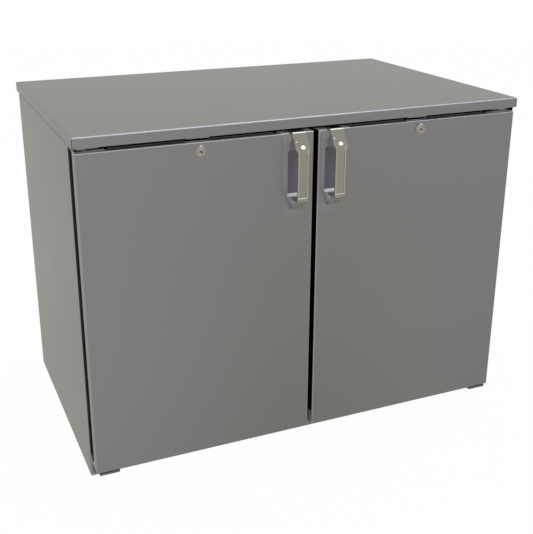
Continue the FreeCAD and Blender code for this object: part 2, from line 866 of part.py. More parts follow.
def fan_guard():
    half, y1 = guard_side / 2, y_evaporator
    plate = box(-half, half, y1 - guard_sheet, y1, z_fan - half, z_fan + half)
    pitch = guard_slot_height + guard_bar
    slots = []
    for i in range(guard_slot_count):
        z = (i - (guard_slot_count - 1) / 2) * pitch
        reach = abs(z) + guard_slot_height / 2
        w = math.sqrt((fan_hole_radius - guard_rim / 2) ** 2 - reach ** 2)
        low = z_fan + z - guard_slot_height / 2
        for x0, x1 in ((-w, -guard_bar / 2), (guard_bar / 2, w)):
            slots.append(box(x0, x1, y1 - guard_sheet, y1, low, low + guard_slot_height))
    return plate.cut(slots)


def fan_vane():
    run, bow, t = fan_blade_chord / 2, fan_blade_bow, fan_blade_thickness
    outline = [(-run, 0), (0, bow), (run, 0), (run, t), (0, bow + t), (-run, t)]
    vane = plan_prism([(x, y - (bow + t) / 2) for x, y in outline], 0, fan_blade_reach)
    vane.rotate(V(0, 0, 0), V(0, 0, 1), fan_blade_pitch)
    vane.translate(V(0, y_fan, z_fan))
    return vane


def fan_blade():
    y0, y1 = y_fan - fan_hub_length / 2, y_fan + fan_hub_length / 2
    hub = front_prism(polygon(fan_hub_radius, fan_hub_sides, 0, z_fan), y0, y1)
    vanes = []
    for i in range(fan_blade_count):
        vane = fan_vane()
        vane.rotate(V(0, y_fan, z_fan), V(0, 1, 0), 360 * i / fan_blade_count)
        vanes.append(vane)
    bore = rod_y(motor_shaft_radius + running_gap, y0, y1, 0, z_fan)
    return fuse(hub, *vanes).cut(bore)


def fan_motor():
    can = front_prism(polygon(motor_radius, motor_sides, 0, z_fan), y_motor, y_motor + motor_length)
    shaft = rod_y(motor_shaft_radius, y_fan - fan_hub_length / 2, y_motor, 0, z_fan)
    w, length = motor_arm_width / 2, motor_stud_circle + motor_arm_width / 2
    y_seat = y_evaporator + evaporator_sheet
    pieces = [can, shaft]
    for turn in (45, 135):
        arm = box(-length, length, y_motor, y_motor + motor_plate, z_fan - w, z_fan + w)
        ends = (-length, length - motor_foot)
        feet = [box(x, x + motor_foot, y_seat, y_motor, z_fan - w, z_fan + w) for x in ends]
        for piece in [arm] + feet:
            piece.rotate(V(0, y_motor, z_fan), V(0, 1, 0), turn)
            pieces.append(piece)
    return fuse(*pieces)


def evaporator_coil():
    half, y0 = coil_width / 2, coil_back - coil_depth
    z0, z1 = z_coil - coil_height / 2, z_coil + coil_height / 2
    y_mid, core = coil_back - coil_depth / 2, coil_core / 2
    pieces = [box(-half, half, y_mid - core, y_mid + core, z0, z1)]
    pitch = coil_width / (coil_fin_count - 1)
    for i in range(coil_fin_count):
        x = -half + pitch * i
        at_end = i in (0, coil_fin_count - 1)
        t = (coil_end_plate if at_end else coil_fin_sheet) / 2
        drop = z_pan + pan_sheet if at_end else z0
        pieces.append(box(x - t, x + t, y0, coil_back, drop, z1))
    reach, r = half + coil_bend_reach, coil_tube_radius
    for k in range(coil_bend_count):
        z = z0 + coil_height * (k + 0.5) / coil_bend_count
        for x0, x1 in ((-reach, -half), (half, reach)):
            pieces.append(box(x0, x1, y_mid - coil_depth / 4, y_mid + coil_depth / 4, z - r, z + r))
    return fuse(*pieces)


def drain_pan():
    half = evaporator_width / 2 - evaporator_sheet - pan_side_gap
    y0, y1 = y_evaporator + pan_front_gap, y_inner - fit_gap
    tray = box(-half, half, y0, y1, z_pan, z_pan + pan_height)
    t = pan_sheet
    hollow = box(t - half, half - t, y0 + t, y1 - t, z_pan + t, z_pan + pan_height)
    spout = square_bar(drain_half, y1, y_back, -drain_offset, z_drain)
    bore = rod_y(drain_half - drain_wall, y1 - t, y_back, -drain_offset, z_drain)
    return fuse(tray.cut(hollow), spout).cut(bore)


def refrigerant_lines():
    sleeve = square_bar(sleeve_half, y_inner, y_back, line_offset, z_coil)
    y0 = coil_back - coil_depth / 2
    tubes = []
    for r, rise in ((liquid_line_radius, -line_spacing / 2), (suction_line_radius, line_spacing / 2)):
        tubes.append(rod_y(r, y0, y_back, line_offset, z_coil + rise))
    return fuse(sleeve, *tubes)


# Thermostat with its knob, and the light under the ceiling

def thermostat():
    w, h = thermostat_width / 2, thermostat_height / 2
    y0, x = y_evaporator - thermostat_depth, thermostat_offset
    body = box(x - w, x + w, y0, y_evaporator, z_fan - h, z_fan + h)
    bore = rod_y(knob_shaft_radius + running_gap, y0, y_evaporator, x, z_fan)
    return body.cut(bore)


def thermostat_knob():
    x, y1 = thermostat_offset, y_evaporator - thermostat_depth - knob_stand
    skirt = front_prism(polygon(knob_radius, knob_sides, x, z_fan), y1 - knob_skirt, y1)
    w, reach = knob_grip_width / 2, knob_radius - knob_skirt
    pointer = [
        (x - w, z_fan - reach), (x + w, z_fan - reach), (x + w, z_fan + reach - w),
        (x, z_fan + reach), (x - w, z_fan + reach - w),
    ]
    grip = front_prism(pointer, y1 - knob_height, y1 - knob_skirt)
    shaft = rod_y(knob_shaft_radius, y1, y1 + knob_shaft_length, x, z_fan)
    return fuse(skirt, grip, shaft)


def light_strip():
    half, w, h = light_length / 2, light_width / 2, light_height
    y, z1 = y_frame + mullion_depth + light_setback, z_ceiling - fit_gap
    lens = [
        (y - w, z1), (y + w, z1), (y + w, z1 - h / 2),
        (y + w / 2, z1 - h), (y - w / 2, z1 - h), (y - w, z1 - h / 2),
    ]
    body = side_prism(lens, light_cap - half, half - light_cap)
    caps = [box(x, x + light_cap, y - w, y + w, z1 - h, z1) for x in (-half, half - light_cap)]
    return fuse(body, *caps)


def build_cabinet():
    save("worktop", worktop())
    save("worktop_core", worktop_core())
    save("top_rails", *both(top_rail()))
    for side, name in ((LEFT, "left"), (RIGHT, "right")):
        save("side_panel_" + name, handed(side_panel(), side))
    save("back_panel", back_panel())
    save("base_pan", base_pan())
    save("top_panel", top_panel())
    save("insulation", insulation())
    save("liner_sides", *both(liner_side()))
    save("liner_back", liner_back())
    save("liner_ceiling", liner_ceiling())
    save("liner_floor", liner_floor())
    save("frame_stiles", *both(frame_stile()))
    head = frame_rail(z_ceiling, z_foam_top, z_ceiling)
    sill = frame_rail(base_height + fit_gap, floor_level, floor_level)
    save("frame_rails", head, sill)
    save("center_mullion", centre_mullion())
    save("upper_hinge_brackets", *both(upper_bracket()))
    save("lower_hinge_brackets", *both(lower_bracket()))
    save("lock_strikes", *both(strike()))


def build_interior():
    supports = shelf_supports()
    channels = [standard(turn, place) for turn, place in supports]
    save("shelf_standards", *[solid for channel in channels for solid in both(channel)])
    levels = (lower_shelf_level, upper_shelf_level)
    clips = [clip(turn, place, level) for turn, place in supports for level in levels]
    save("shelf_clips", *[solid for piece in clips for solid in both(piece)])
    for level, name in zip(levels, ("lower_shelves", "upper_shelves")):
        save(name, *both(shelf_at(level)))
    save("evaporator_housing", evaporator_housing())
    save("fan_guard", fan_guard())
    save("fan_blade", fan_blade())
    save("fan_motor", fan_motor())
    save("evaporator_coil", evaporator_coil())
    save("drain_pan", drain_pan())
    save("refrigerant_lines", refrigerant_lines())
    save("thermostat", thermostat())
    save("thermostat_knob", thermostat_knob())
    save("light_strip", light_strip())


def build_door(side, name):
    save("door_skin_" + name, handed(door_skin(), side))
    save("door_core_" + name, handed(door_core(), side))
    save("door_cap_" + name, handed(door_cap(), side))
    save("door_frame_" + name, handed(door_frame(), side))
    save("door_liner_" + name, handed(door_liner(), side))
    save("gasket_" + name, handed(gasket(), side))
    save("hinge_plates_" + name, *[handed(plate, side) for plate in door_plates()])
    save("hinge_bushes_" + name, *[handed(piece, side) for piece in bushes()])
    for piece, part in ((handle(), "handle_"), (handle_button(), "handle_button_")):
        piece.translate(V(side * handle_centre, 0, 0))
        save(part + name, piece)
    shift = V(0 if side == LEFT else -2 * x_lock, 0, 0)
    for piece, part in ((lock_barrel(), "lock_barrel_"), (lock_plug(), "lock_plug_")):
        piece.translate(shift)
        save(part + name, piece)


os.makedirs("parts", exist_ok=True)
build_cabinet()
build_interior()
for door_side, door_name in ((LEFT, "left"), (RIGHT, "right")):
    build_door(door_side, door_name)
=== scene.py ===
"""Looks of a two-door back bar cooler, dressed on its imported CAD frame.

Metres, in the frame of the CAD: +X to the right, +Y to the back, +Z up, the origin on the
floor under the middle of the worktop.
"""
from __future__ import annotations

import json
import logging
import math
from dataclasses import dataclass
from enum import Enum
from typing import Iterable, Mapping, Sequence, Union

import bmesh
import bpy
from mathutils import Matrix, Vector

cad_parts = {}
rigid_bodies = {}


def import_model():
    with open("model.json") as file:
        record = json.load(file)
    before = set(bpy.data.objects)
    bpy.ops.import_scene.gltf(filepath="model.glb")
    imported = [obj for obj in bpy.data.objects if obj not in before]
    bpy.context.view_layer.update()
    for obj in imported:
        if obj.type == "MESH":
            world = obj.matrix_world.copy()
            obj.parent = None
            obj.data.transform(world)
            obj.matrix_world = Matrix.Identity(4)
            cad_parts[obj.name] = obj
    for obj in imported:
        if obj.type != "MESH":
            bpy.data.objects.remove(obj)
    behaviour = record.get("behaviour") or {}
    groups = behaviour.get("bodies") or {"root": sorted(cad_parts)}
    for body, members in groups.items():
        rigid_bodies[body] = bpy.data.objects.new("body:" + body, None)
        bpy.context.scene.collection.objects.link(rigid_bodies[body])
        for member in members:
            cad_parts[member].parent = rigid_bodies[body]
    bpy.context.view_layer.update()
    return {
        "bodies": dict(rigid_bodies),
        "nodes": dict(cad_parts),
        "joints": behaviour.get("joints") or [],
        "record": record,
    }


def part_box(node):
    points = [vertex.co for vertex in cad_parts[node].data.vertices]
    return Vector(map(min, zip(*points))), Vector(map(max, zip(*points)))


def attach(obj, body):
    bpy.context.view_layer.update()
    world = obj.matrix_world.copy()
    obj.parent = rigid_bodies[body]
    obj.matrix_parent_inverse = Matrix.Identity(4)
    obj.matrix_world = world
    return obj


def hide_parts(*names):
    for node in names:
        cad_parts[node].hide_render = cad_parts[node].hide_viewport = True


LOG = logging.getLogger("cooler")
PHOTO_WIDTH, PHOTO_HEIGHT = 533, 534
MM = 0.001
FAR = 9.0
SAME_POINT = 0.000001

Colour = tuple[float, float, float, float]
Point = tuple[float, float, float]
Pairs = tuple[tuple[float, float], ...]
Ring = list[bmesh.types.BMVert]
Value = Union["Sock", float, int, bool, str, Sequence[float], bpy.types.ID]


def paint(red: float, green: float, blue: float) -> Colour:
    """Turns a colour as a screen shows it into the linear colour that a shader takes.

    Args:
        red: Red share, from 0 to 1.
        green: Green share, from 0 to 1.
        blue: Blue share, from 0 to 1.

    Returns:
        The linear colour with an alpha of 1.
    """
    def linear(share: float) -> float:
        """Undoes the screen's curve for one channel."""
        return share / 12.92 if share <= 0.04045 else ((share + 0.055) / 1.055) ** 2.4

    return linear(red), linear(green), linear(blue), 1.0


class Side(Enum):
    """The two doors, by the side that their hinge is on."""

    LEFT = "left"
    RIGHT = "right"

    @property
    def sign(self) -> int:
        """Which way the side lies along X."""
        return -1 if self is Side.LEFT else 1

    @property
    def door(self) -> str:
        """Name of the door's body."""
        return f"{self.value}_door"

    @property
    def lock(self) -> str:
        """Name of the lock's turning body."""
        return f"{self.value}_lock"

    def node(self, stem: str) -> str:
        """Name of this side's copy of a node."""
        return f"{stem}_{self.value}"


class Grain(Enum):
    """Which way a sheet was polished, as the pattern's scale along X, Y and Z."""

    ACROSS = (14.0, 700.0, 700.0)
    DEEP = (700.0, 14.0, 700.0)
    UPRIGHT = (700.0, 700.0, 14.0)
    CAST = (420.0, 420.0, 420.0)


class Sock:
    """An output socket that takes part in Python arithmetic by adding Math nodes."""

    def __init__(self, sheet: NodeSheet, socket: bpy.types.NodeSocket) -> None:
        """Wraps a socket of a node on the sheet."""
        self.sheet = sheet
        self.socket = socket

    def _math(self, operation: str, first: Value, second: Value = 0.0) -> Sock:
        """Adds one Math node for two values."""
        return self.sheet.add("ShaderNodeMath", {"operation": operation}, {0: first, 1: second})

    def __add__(self, other: Value) -> Sock:
        """Sum."""
        return self._math("ADD", self, other)

    def __radd__(self, other: Value) -> Sock:
        """Sum with a number in front."""
        return self._math("ADD", other, self)

    def __sub__(self, other: Value) -> Sock:
        """Difference."""
        return self._math("SUBTRACT", self, other)

    def __rsub__(self, other: Value) -> Sock:
        """Difference from a number."""
        return self._math("SUBTRACT", other, self)

    def __mul__(self, other: Value) -> Sock:
        """Product."""
        return self._math("MULTIPLY", self, other)

    def __rmul__(self, other: Value) -> Sock:
        """Product with a number in front."""
        return self._math("MULTIPLY", other, self)

    def __truediv__(self, other: Value) -> Sock:
        """Quotient."""
        return self._math("DIVIDE", self, other)

    def __rtruediv__(self, other: Value) -> Sock:
        """Quotient of a number."""
        return self._math("DIVIDE", other, self)

    def most(self, other: Value) -> Sock:
        """The larger of two values."""
        return self._math("MAXIMUM", self, other)

    def least(self, other: Value) -> Sock:
        """The smaller of two values."""
        return self._math("MINIMUM", self, other)

    def smooth(self, low: float, high: float) -> Sock:
        """A soft step from 0 at low to 1 at high."""
        sockets = {0: self, 1: low, 2: high, 3: 0.0, 4: 1.0}
        return self.sheet.add("ShaderNodeMapRange", {"interpolation_type": "SMOOTHSTEP"}, sockets)


class NodeSheet:
    """A node tree that is written one node at a time."""

    def __init__(self, tree: bpy.types.NodeTree) -> None:
        """Empties the tree and starts writing on it."""
        tree.nodes.clear()
        self.tree = tree

    def add(
        self,
        kind: str,
        settings: Mapping[str, object] | None = None,
        sockets: Mapping[str | int, Value | Sequence[Sock]] | None = None,
        out: str | int = 0,
    ) -> Sock:
        """Adds one node.

        Args:
            kind: Blender's name for the node's type.
            settings: Properties of the node, set before its sockets. "stops" fills a ramp.
            sockets: Values or links of its inputs, by name or place.
            out: The output to hand back, by name or place.

        Returns:
            The wrapped output.
        """
        node = self.tree.nodes.new(kind)
        for name, value in (settings or {}).items():
            if name == "stops":
                self._set_stops(node.color_ramp, value)
            else:
                setattr(node, name, value)
        for key, value in (sockets or {}).items():
            self.feed(node.inputs[key], value)
        outputs = node.outputs
        return Sock(self, outputs[out] if len(outputs) else None)

    @staticmethod
    def _set_stops(ramp: bpy.types.ColorRamp, stops: Iterable[tuple[float, Colour]]) -> None:
        """Fills a ramp with its stops.

        Args:
            ramp: The ramp.
            stops: Place and colour of each stop.
        """
        for index, (place, colour) in enumerate(stops):
            stop = ramp.elements[index] if index < len(ramp.elements) else ramp.elements.new(place)
            stop.position = place
            stop.color = colour

    def feed(self, socket: bpy.types.NodeSocket, value: Value | Sequence[Sock]) -> None:
        """Links or sets one input, a list of outputs being linked one after the other.

        Args:
            socket: The input.
            value: A wrapped output, a list of them, or a plain value.
        """
        if isinstance(value, Sock):
            self.tree.links.new(value.socket, socket)
        elif isinstance(value, list):
            for item in reversed(value):
                self.tree.links.new(item.socket, socket)
        else:
            socket.default_value = value

    def place(self, stretch: Point = (1.0, 1.0, 1.0)) -> Sock:
        """Object coordinates, stretched along X, Y and Z, to feed a pattern with."""
        coords = self.add("ShaderNodeTexCoord", out="Object")
        return self.add("ShaderNodeMapping", None, {"Vector": coords, "Scale": stretch})

    def along(self, axis: str) -> Sock:
        """One of the object's own coordinates, by its letter."""
        coords = self.add("ShaderNodeTexCoord", out="Object")
        return self.add("ShaderNodeSeparateXYZ", None, {"Vector": coords}, out=axis)

    def noise(self, place: Sock, scale: float, detail: float = 2.0, rough: float = 0.5) -> Sock:
        """A soft random pattern from 0 to 1.

        Args:
            place: Vector that the pattern is laid on.
            scale: Its fineness.
            detail: How many finer layers it has.
            rough: How strong the finer layers are.

        Returns:
            The pattern's value.
        """
        sockets = {"Vector": place, "Scale": scale, "Detail": detail, "Roughness": rough}
        return self.add("ShaderNodeTexNoise", None, sockets)

    def cells(self, scale: float, stretch: Point = (1.0, 1.0, 1.0)) -> Sock:
        """A random value from 0 to 1 in every cell of a pattern.

        Args:
            scale: Fineness of the cells.
            stretch: Scale of the pattern along X, Y and Z.

        Returns:
            The value.
        """
        sockets = {"Vector": self.place(stretch), "Scale": scale}
        colour = self.add("ShaderNodeTexVoronoi", None, sockets, out="Color")
        return self.add("ShaderNodeSeparateColor", None, {"Color": colour})

    def blend(self, share: Value, low: Value, high: Value) -> Sock:
        """Mixes two colours.

        Args:
            share: Share of the second colour.
            low: Colour at a share of 0.
            high: Colour at a share of 1.

        Returns:
            The mixed colour.
        """
        return self.add("ShaderNodeMix", {"data_type": "RGBA"}, {0: share, 6: low, 7: high}, out=2)

    def bump(self, height: Sock, depth: float, strength: float = 1.0) -> Sock:
        """A normal that follows a height pattern.

        Args:
            height: The pattern.
            depth: Height of the pattern in metres.
            strength: Share of it that shows.

        Returns:
            The normal.
        """
        sockets = {"Strength": strength, "Distance": depth, "Height": height}
        return self.add("ShaderNodeBump", None, sockets)


def shade(colour: Colour, factor: float) -> Colour:
    """A colour made lighter or darker."""
    return colour[0] * factor, colour[1] * factor, colour[2] * factor, 1.0


@dataclass(frozen=True)
class Finish:
    """What every finish has: a name, a colour, a gloss and the way it becomes a material."""

    name: str
    colour: Colour
    roughness: float

    def surface(self, sheet: NodeSheet) -> dict[str, Value]:
        """The sockets of the surface shader, which each kind of finish writes for itself."""
        raise NotImplementedError

    def material(self) -> bpy.types.Material:
        """Builds the material, or hands back the one built before.

        Returns:
            The material.
        """
        known = bpy.data.materials.get(f"finish_{self.name}")
        if known:
            return known
        material = bpy.data.materials.new(f"finish_{self.name}")
        material.use_nodes = True
        sheet = NodeSheet(material.node_tree)
        shader = sheet.add("ShaderNodeBsdfPrincipled", None, self.surface(sheet))
        sheet.add("ShaderNodeOutputMaterial", None, {"Surface": shader})
        return material


@dataclass(frozen=True)
class Zone:
    """A stretch of a surface, bounded by planes of the frame, whose finish differs; most zones here paint
    light or shade onto the surface.

    Its borders are soft, and a fade sets how soft those along Z are.
    """

    low: Point
    high: Point
    colour: Colour
    roughness: float
    metallic: float = 1.0
    soft: float = 0.5 * MM
    fade: float = 0.0

    def mask(self, sheet: NodeSheet) -> Sock:
        """Writes the zone's mask.

        Args:
            sheet: The tree that it is written on.

        Returns:
            1 inside the zone and 0 outside it, with a soft border.
        """
        sides: list[Sock] = []
        for axis, low, high in zip("XYZ", self.low, self.high):
            soft = self.fade if axis == "Z" and self.fade else self.soft
            if low > -FAR:
                sides.append(sheet.along(axis).smooth(low, low + soft))
            if high < FAR:
                sides.append(1 - sheet.along(axis).smooth(high - soft, high))
        mask = sides[0]
        for side in sides[1:]:
            mask = mask * side
        return mask


@dataclass(frozen=True)
class PolishedSheet(Finish):
    """Satin metal with a fine polishing grain and a slow drift of tone."""

    grain: Grain
    drift: float = 0.05
    streak: float = 0.06
    depth: float = 0.00004
    metallic: float = 1.0
    tint: Colour = (1.0, 1.0, 1.0, 1.0)
    zones: tuple[Zone, ...] = ()
    cloud_scale: float = 2.6
    cloud_share: float = 0.65
    cloud_gloss: float = 0.04
    relief: float = 0.35

    def surface(self, sheet: NodeSheet) -> dict[str, Value]:
        """Metal whose tone and gloss follow the grain, with its zones laid over it.

        Args:
            sheet: The material's tree.

        Returns:
            The sockets of the surface shader.
        """
        streaks = sheet.noise(sheet.place(self.grain.value), 1.0, 3.0, 0.6)
        clouds = sheet.noise(sheet.place(), self.cloud_scale)
        share = self.cloud_share * clouds + (1 - self.cloud_share) * streaks
        tone = self._tone(sheet, share, self.colour)
        gloss = self.roughness + self.streak * (streaks - 0.5) + self.cloud_gloss * (clouds - 0.5)
        metal: Value = self.metallic
        for zone in self.zones:
            mask = zone.mask(sheet)
            tone = sheet.blend(mask, tone, self._tone(sheet, share, zone.colour))
            gloss = gloss + (zone.roughness - self.roughness) * mask
            if zone.metallic != self.metallic:
                metal = metal + (zone.metallic - self.metallic) * mask
        return {
            "Base Color": tone, "Metallic": metal, "Roughness": gloss, "Specular Tint": self.tint,
            "Normal": sheet.bump(streaks, self.depth, self.relief),
        }

    def _tone(self, sheet: NodeSheet, share: Sock, colour: Colour) -> Sock:
        """A colour that drifts a little either way."""
        return sheet.blend(share, shade(colour, 1 - self.drift), shade(colour, 1 + self.drift))


@dataclass(frozen=True)
class PlatedSteel(Finish):
    """Zinc plate with its crystal pattern."""

    flake: float = 160.0
    speck: float = 900.0
    shades: tuple[float, float] = (0.88, 1.1)
    flake_gloss: float = 0.14
    speck_gloss: float = 0.06
    depth: float = 0.00003
    relief: float = 0.3

    def surface(self, sheet: NodeSheet) -> dict[str, Value]:
        """Metal with a tone of its own in every flake.

        Args:
            sheet: The material's tree.

        Returns:
            The sockets of the surface shader.
        """
        flakes = sheet.cells(self.flake)
        specks = sheet.noise(sheet.place(), self.speck)
        low, high = (shade(self.colour, factor) for factor in self.shades)
        gloss = self.roughness + self.flake_gloss * (flakes - 0.5) + self.speck_gloss * (specks - 0.5)
        return {
            "Base Color": sheet.blend(flakes, low, high), "Metallic": 1.0, "Roughness": gloss,
            "Normal": sheet.bump(specks, self.depth, self.relief),
        }


@dataclass(frozen=True)
class Moulding(Finish):
    """Moulded plastic or rubber with a spark-eroded grain."""

    pores: float = 1400.0
    depth: float = 0.00008
    mottle: float = 0.12
    coat: float = 0.0
    shine: float = 0.5
    wash_scale: float = 9.0
    wash_share: float = 0.7
    wash_gloss: float = 0.12
    pore_gloss: float = 0.08
    relief: float = 0.4

    def surface(self, sheet: NodeSheet) -> dict[str, Value]:
        """Plastic with pores and a slow change of tone and gloss.

        Args:
            sheet: The material's tree.

        Returns:
            The sockets of the surface shader.
        """
        pores = sheet.noise(sheet.place(), self.pores)
        wash = sheet.noise(sheet.place(), self.wash_scale, 3.0)
        low, high = shade(self.colour, 1 - self.mottle), shade(self.colour, 1 + self.mottle)
        share = self.wash_share * wash + (1 - self.wash_share) * pores
        gloss = self.roughness + self.wash_gloss * (wash - 0.5) + self.pore_gloss * (pores - 0.5)
        return {
            "Base Color": sheet.blend(share, low, high), "Roughness": gloss,
            "Coat Weight": self.coat, "Specular IOR Level": self.shine,
            "Normal": sheet.bump(pores, self.depth, self.relief),
        }


@dataclass(frozen=True)
class Foam(Finish):
    """Rigid foam with open cells."""

    cell: float = 420.0
    mouth: float = 1.4
    patch: float = 14.0
    cell_share: float = 0.6
    darkest: float = 0.72
    depth: float = 0.0004
    relief: float = 0.6

    def surface(self, sheet: NodeSheet) -> dict[str, Value]:
        """Matt foam with dark cell mouths.

        Args:
            sheet: The material's tree.

        Returns:
            The sockets of the surface shader.
        """
        cells = sheet.add("ShaderNodeTexVoronoi", None, {"Vector": sheet.place(), "Scale": self.cell})
        patches = sheet.noise(sheet.place(), self.patch, 3.0)
        share = self.cell_share * (cells * self.mouth).least(1.0) + (1 - self.cell_share) * patches
        tone = sheet.blend(share, shade(self.colour, self.darkest), self.colour)
        bump = sheet.bump(cells, self.depth, self.relief)
        return {"Base Color": tone, "Roughness": self.roughness, "Normal": bump}


@dataclass(frozen=True)
class ChipBoard(Finish):
    """Pressed board with chips of several tones."""

    chip: float = 240.0
    chip_stretch: Point = (1.0, 0.4, 1.0)
    fibre: Point = (500.0, 90.0, 500.0)
    chip_share: float = 0.6
    shades: tuple[float, float] = (0.6, 1.2)
    depth: float = 0.0002
    relief: float = 0.5

    def surface(self, sheet: NodeSheet) -> dict[str, Value]:
        """Matt board with a tone for every chip.

        Args:
            sheet: The material's tree.

        Returns:
            The sockets of the surface shader.
        """
        chips = sheet.cells(self.chip, self.chip_stretch)
        fibres = sheet.noise(sheet.place(self.fibre), 1.0, 3.0)
        low, high = (shade(self.colour, factor) for factor in self.shades)
        tone = sheet.blend(self.chip_share * chips + (1 - self.chip_share) * fibres, low, high)
        bump = sheet.bump(fibres, self.depth, self.relief)
        return {"Base Color": tone, "Roughness": self.roughness, "Normal": bump}


@dataclass(frozen=True)
class FrostedLens(Finish):
    """Frosted lens with lengthwise prisms."""

    prism: float = 520.0
    waver: float = 0.2
    haze: float = 30.0
    haze_gloss: float = 0.1
    darkest: float = 0.9
    depth: float = 0.0003
    relief: float = 0.5

    def surface(self, sheet: NodeSheet) -> dict[str, Value]:
        """Milky plastic with fine prism lines.

        Args:
            sheet: The material's tree.

        Returns:
            The sockets of the surface shader.
        """
        scale = self.prism / (2 * math.pi)
        sockets = {"Vector": sheet.place(), "Scale": scale, "Distortion": self.waver}
        lines = sheet.add("ShaderNodeTexWave", {"bands_direction": "Y"}, sockets, out="Fac")
        haze = sheet.noise(sheet.place(), self.haze)
        tone = sheet.blend(0.5 * lines + 0.5 * haze, shade(self.colour, self.darkest), self.colour)
        return {
            "Base Color": tone, "Roughness": self.roughness + self.haze_gloss * (haze - 0.5),
            "Normal": sheet.bump(lines, self.depth, self.relief),
        }


STEEL_TONE = paint(0.514, 0.510, 0.513)
STEEL_TINT = (0.755, 0.74, 0.675, 1.0)
TOP_TINT = (0.745, 0.738, 0.705, 1.0)
# Painted highlight along the worktop's rounded front top edge.
EDGE_HIGHLIGHT_TONE = paint(0.68, 0.68, 0.71)
# Dark tone for the lines along the worktop's bottom front edge and front corners, and for the painted
# shadow under the worktop on the rails.
SEAM_AND_SHADE_TONE = paint(0.16, 0.16, 0.16)
# Painted shade for the hinge plates and bushes back in the gap under the worktop.
PAINTED_SHADE_TONE = paint(0.09, 0.09, 0.1)
SATIN_GLOSS = 0.31
HANDLE_MIDDLE = 52 * MM
LOCK_MIDDLE = 305.25 * MM
SCOOP_HALF = 28 * MM
LIP_DEPTH = -391.0 * MM
FLOOR_DEPTH = -379.7 * MM


def satin(name: str, grain: Grain, *zones: Zone) -> PolishedSheet:
    """The stainless sheet that the cabinet is folded from.

    Args:
        name: Name of the finish.
        grain: Which way it was polished.
        zones: Stretches of it that differ.

    Returns:
        The finish.
    """
    return PolishedSheet(name, STEEL_TONE, SATIN_GLOSS, grain, 0.02, tint=STEEL_TINT, zones=zones)


def scoop_painted_light(middle: float) -> tuple[Zone, ...]:
    """Painted light and shade in and beside a door's scoop: its floor, ramps, wall and bend, and the sheet
    beside it.

    Args:
        middle: Where the scoop lies along X.

    Returns:
        The zones, the later ones over the earlier ones.
    """
    left, right = middle - SCOOP_HALF, middle + SCOOP_HALF
    # The sheet beside the scoop is made less metallic and given a tone that paints out the handle's dark
    # reflection and shade on it; the shaded and beside_plate stretches are painted lighter still.
    reflection_cover = (middle - 42 * MM, -FAR, 0.6750), (middle + 12 * MM, FAR, 0.9320)
    shaded = (middle - 42 * MM, -FAR, 0.7450), (middle + 12 * MM, FAR, 0.9150)
    beside_plate = (left, -FAR, 0.8740), (middle + 6 * MM, FAR, FAR)
    rim = (left, -FAR, 0.7400), (middle - 20 * MM, -0.3860, 0.8560)
    lower_ramp = (left, LIP_DEPTH, 0.7040), (right, FAR, 0.7350)
    lower_tip = (left, LIP_DEPTH, -FAR), (right, FAR, 0.7270)
    bend_shadow = (middle - 10 * MM, -0.3900, 0.7250), (right, FAR, 0.7322)
    foot_shadow = (middle - 5 * MM, -0.3900, 0.7200), (right, FAR, 0.7275)
    upper_ramp = (left, LIP_DEPTH, 0.8520), (right, FAR, 0.8900)
    floor = (left, FLOOR_DEPTH, 0.7405), (right, FAR, 0.8540)
    lower_floor = (left, FLOOR_DEPTH, -FAR), (right, FAR, 0.8400)
    floor_edge = (left, FLOOR_DEPTH, 0.7405), (middle - 15.5 * MM, FAR, 0.8540)
    corner = (left, -0.3905, 0.8500), (middle - 14 * MM, FAR, 0.8640)
    wall = (left, -0.3912, 0.7250), (middle - 19.4 * MM, -0.3783, 0.8700)
    bend = (left, -0.3800, 0.7326), (right, FAR, 0.7418)
    # Painted shadow below the bend and beside the foot.
    shadow = paint(0.39, 0.385, 0.40)
    # The rim is a painted shade at the scoop's edge, the ramps and the floors are painted light and shade,
    # and the corner, the wall and the bend are painted highlights.
    return (
        Zone(*reflection_cover, paint(0.535, 0.528, 0.53), 0.4, 0.25, 12 * MM, 30 * MM),
        Zone(*shaded, paint(0.575, 0.568, 0.57), 0.4, 0.25, 12 * MM, 30 * MM),
        Zone(*beside_plate, paint(0.70, 0.692, 0.70), 0.4, 0.2, 12 * MM, 8 * MM),
        Zone(*rim, paint(0.52, 0.512, 0.52), 0.4, 0.2, 2 * MM),
        Zone(*lower_ramp, paint(0.66, 0.655, 0.66), 0.4, 0.3, 1.0 * MM),
        Zone(*lower_tip, paint(0.73, 0.725, 0.73), 0.4, 0.2, 1.0 * MM, 8 * MM),
        Zone(*bend_shadow, shadow, 0.5, 0.3, 2.2 * MM),
        Zone(*foot_shadow, shadow, 0.5, 0.3, 2.2 * MM),
        Zone(*upper_ramp, paint(0.53, 0.525, 0.545), 0.4, 0.35, 1.0 * MM),
        Zone(*floor, paint(0.42, 0.408, 0.44), 0.46, 0.35, 1.6 * MM),
        Zone(*lower_floor, paint(0.46, 0.45, 0.485), 0.46, 0.35, 1.6 * MM, 90 * MM),
        Zone(*floor_edge, paint(0.54, 0.53, 0.56), 0.46, 0.35, 3 * MM),
        Zone(*corner, paint(0.72, 0.71, 0.75), 0.4, 0.2, 2 * MM),
        Zone(*wall, paint(0.88, 0.87, 0.92), 0.4, 0.1, 0.8 * MM),
        Zone(*bend, paint(0.99, 0.985, 1.0), 0.28, 0.6, 1.0 * MM),
    )


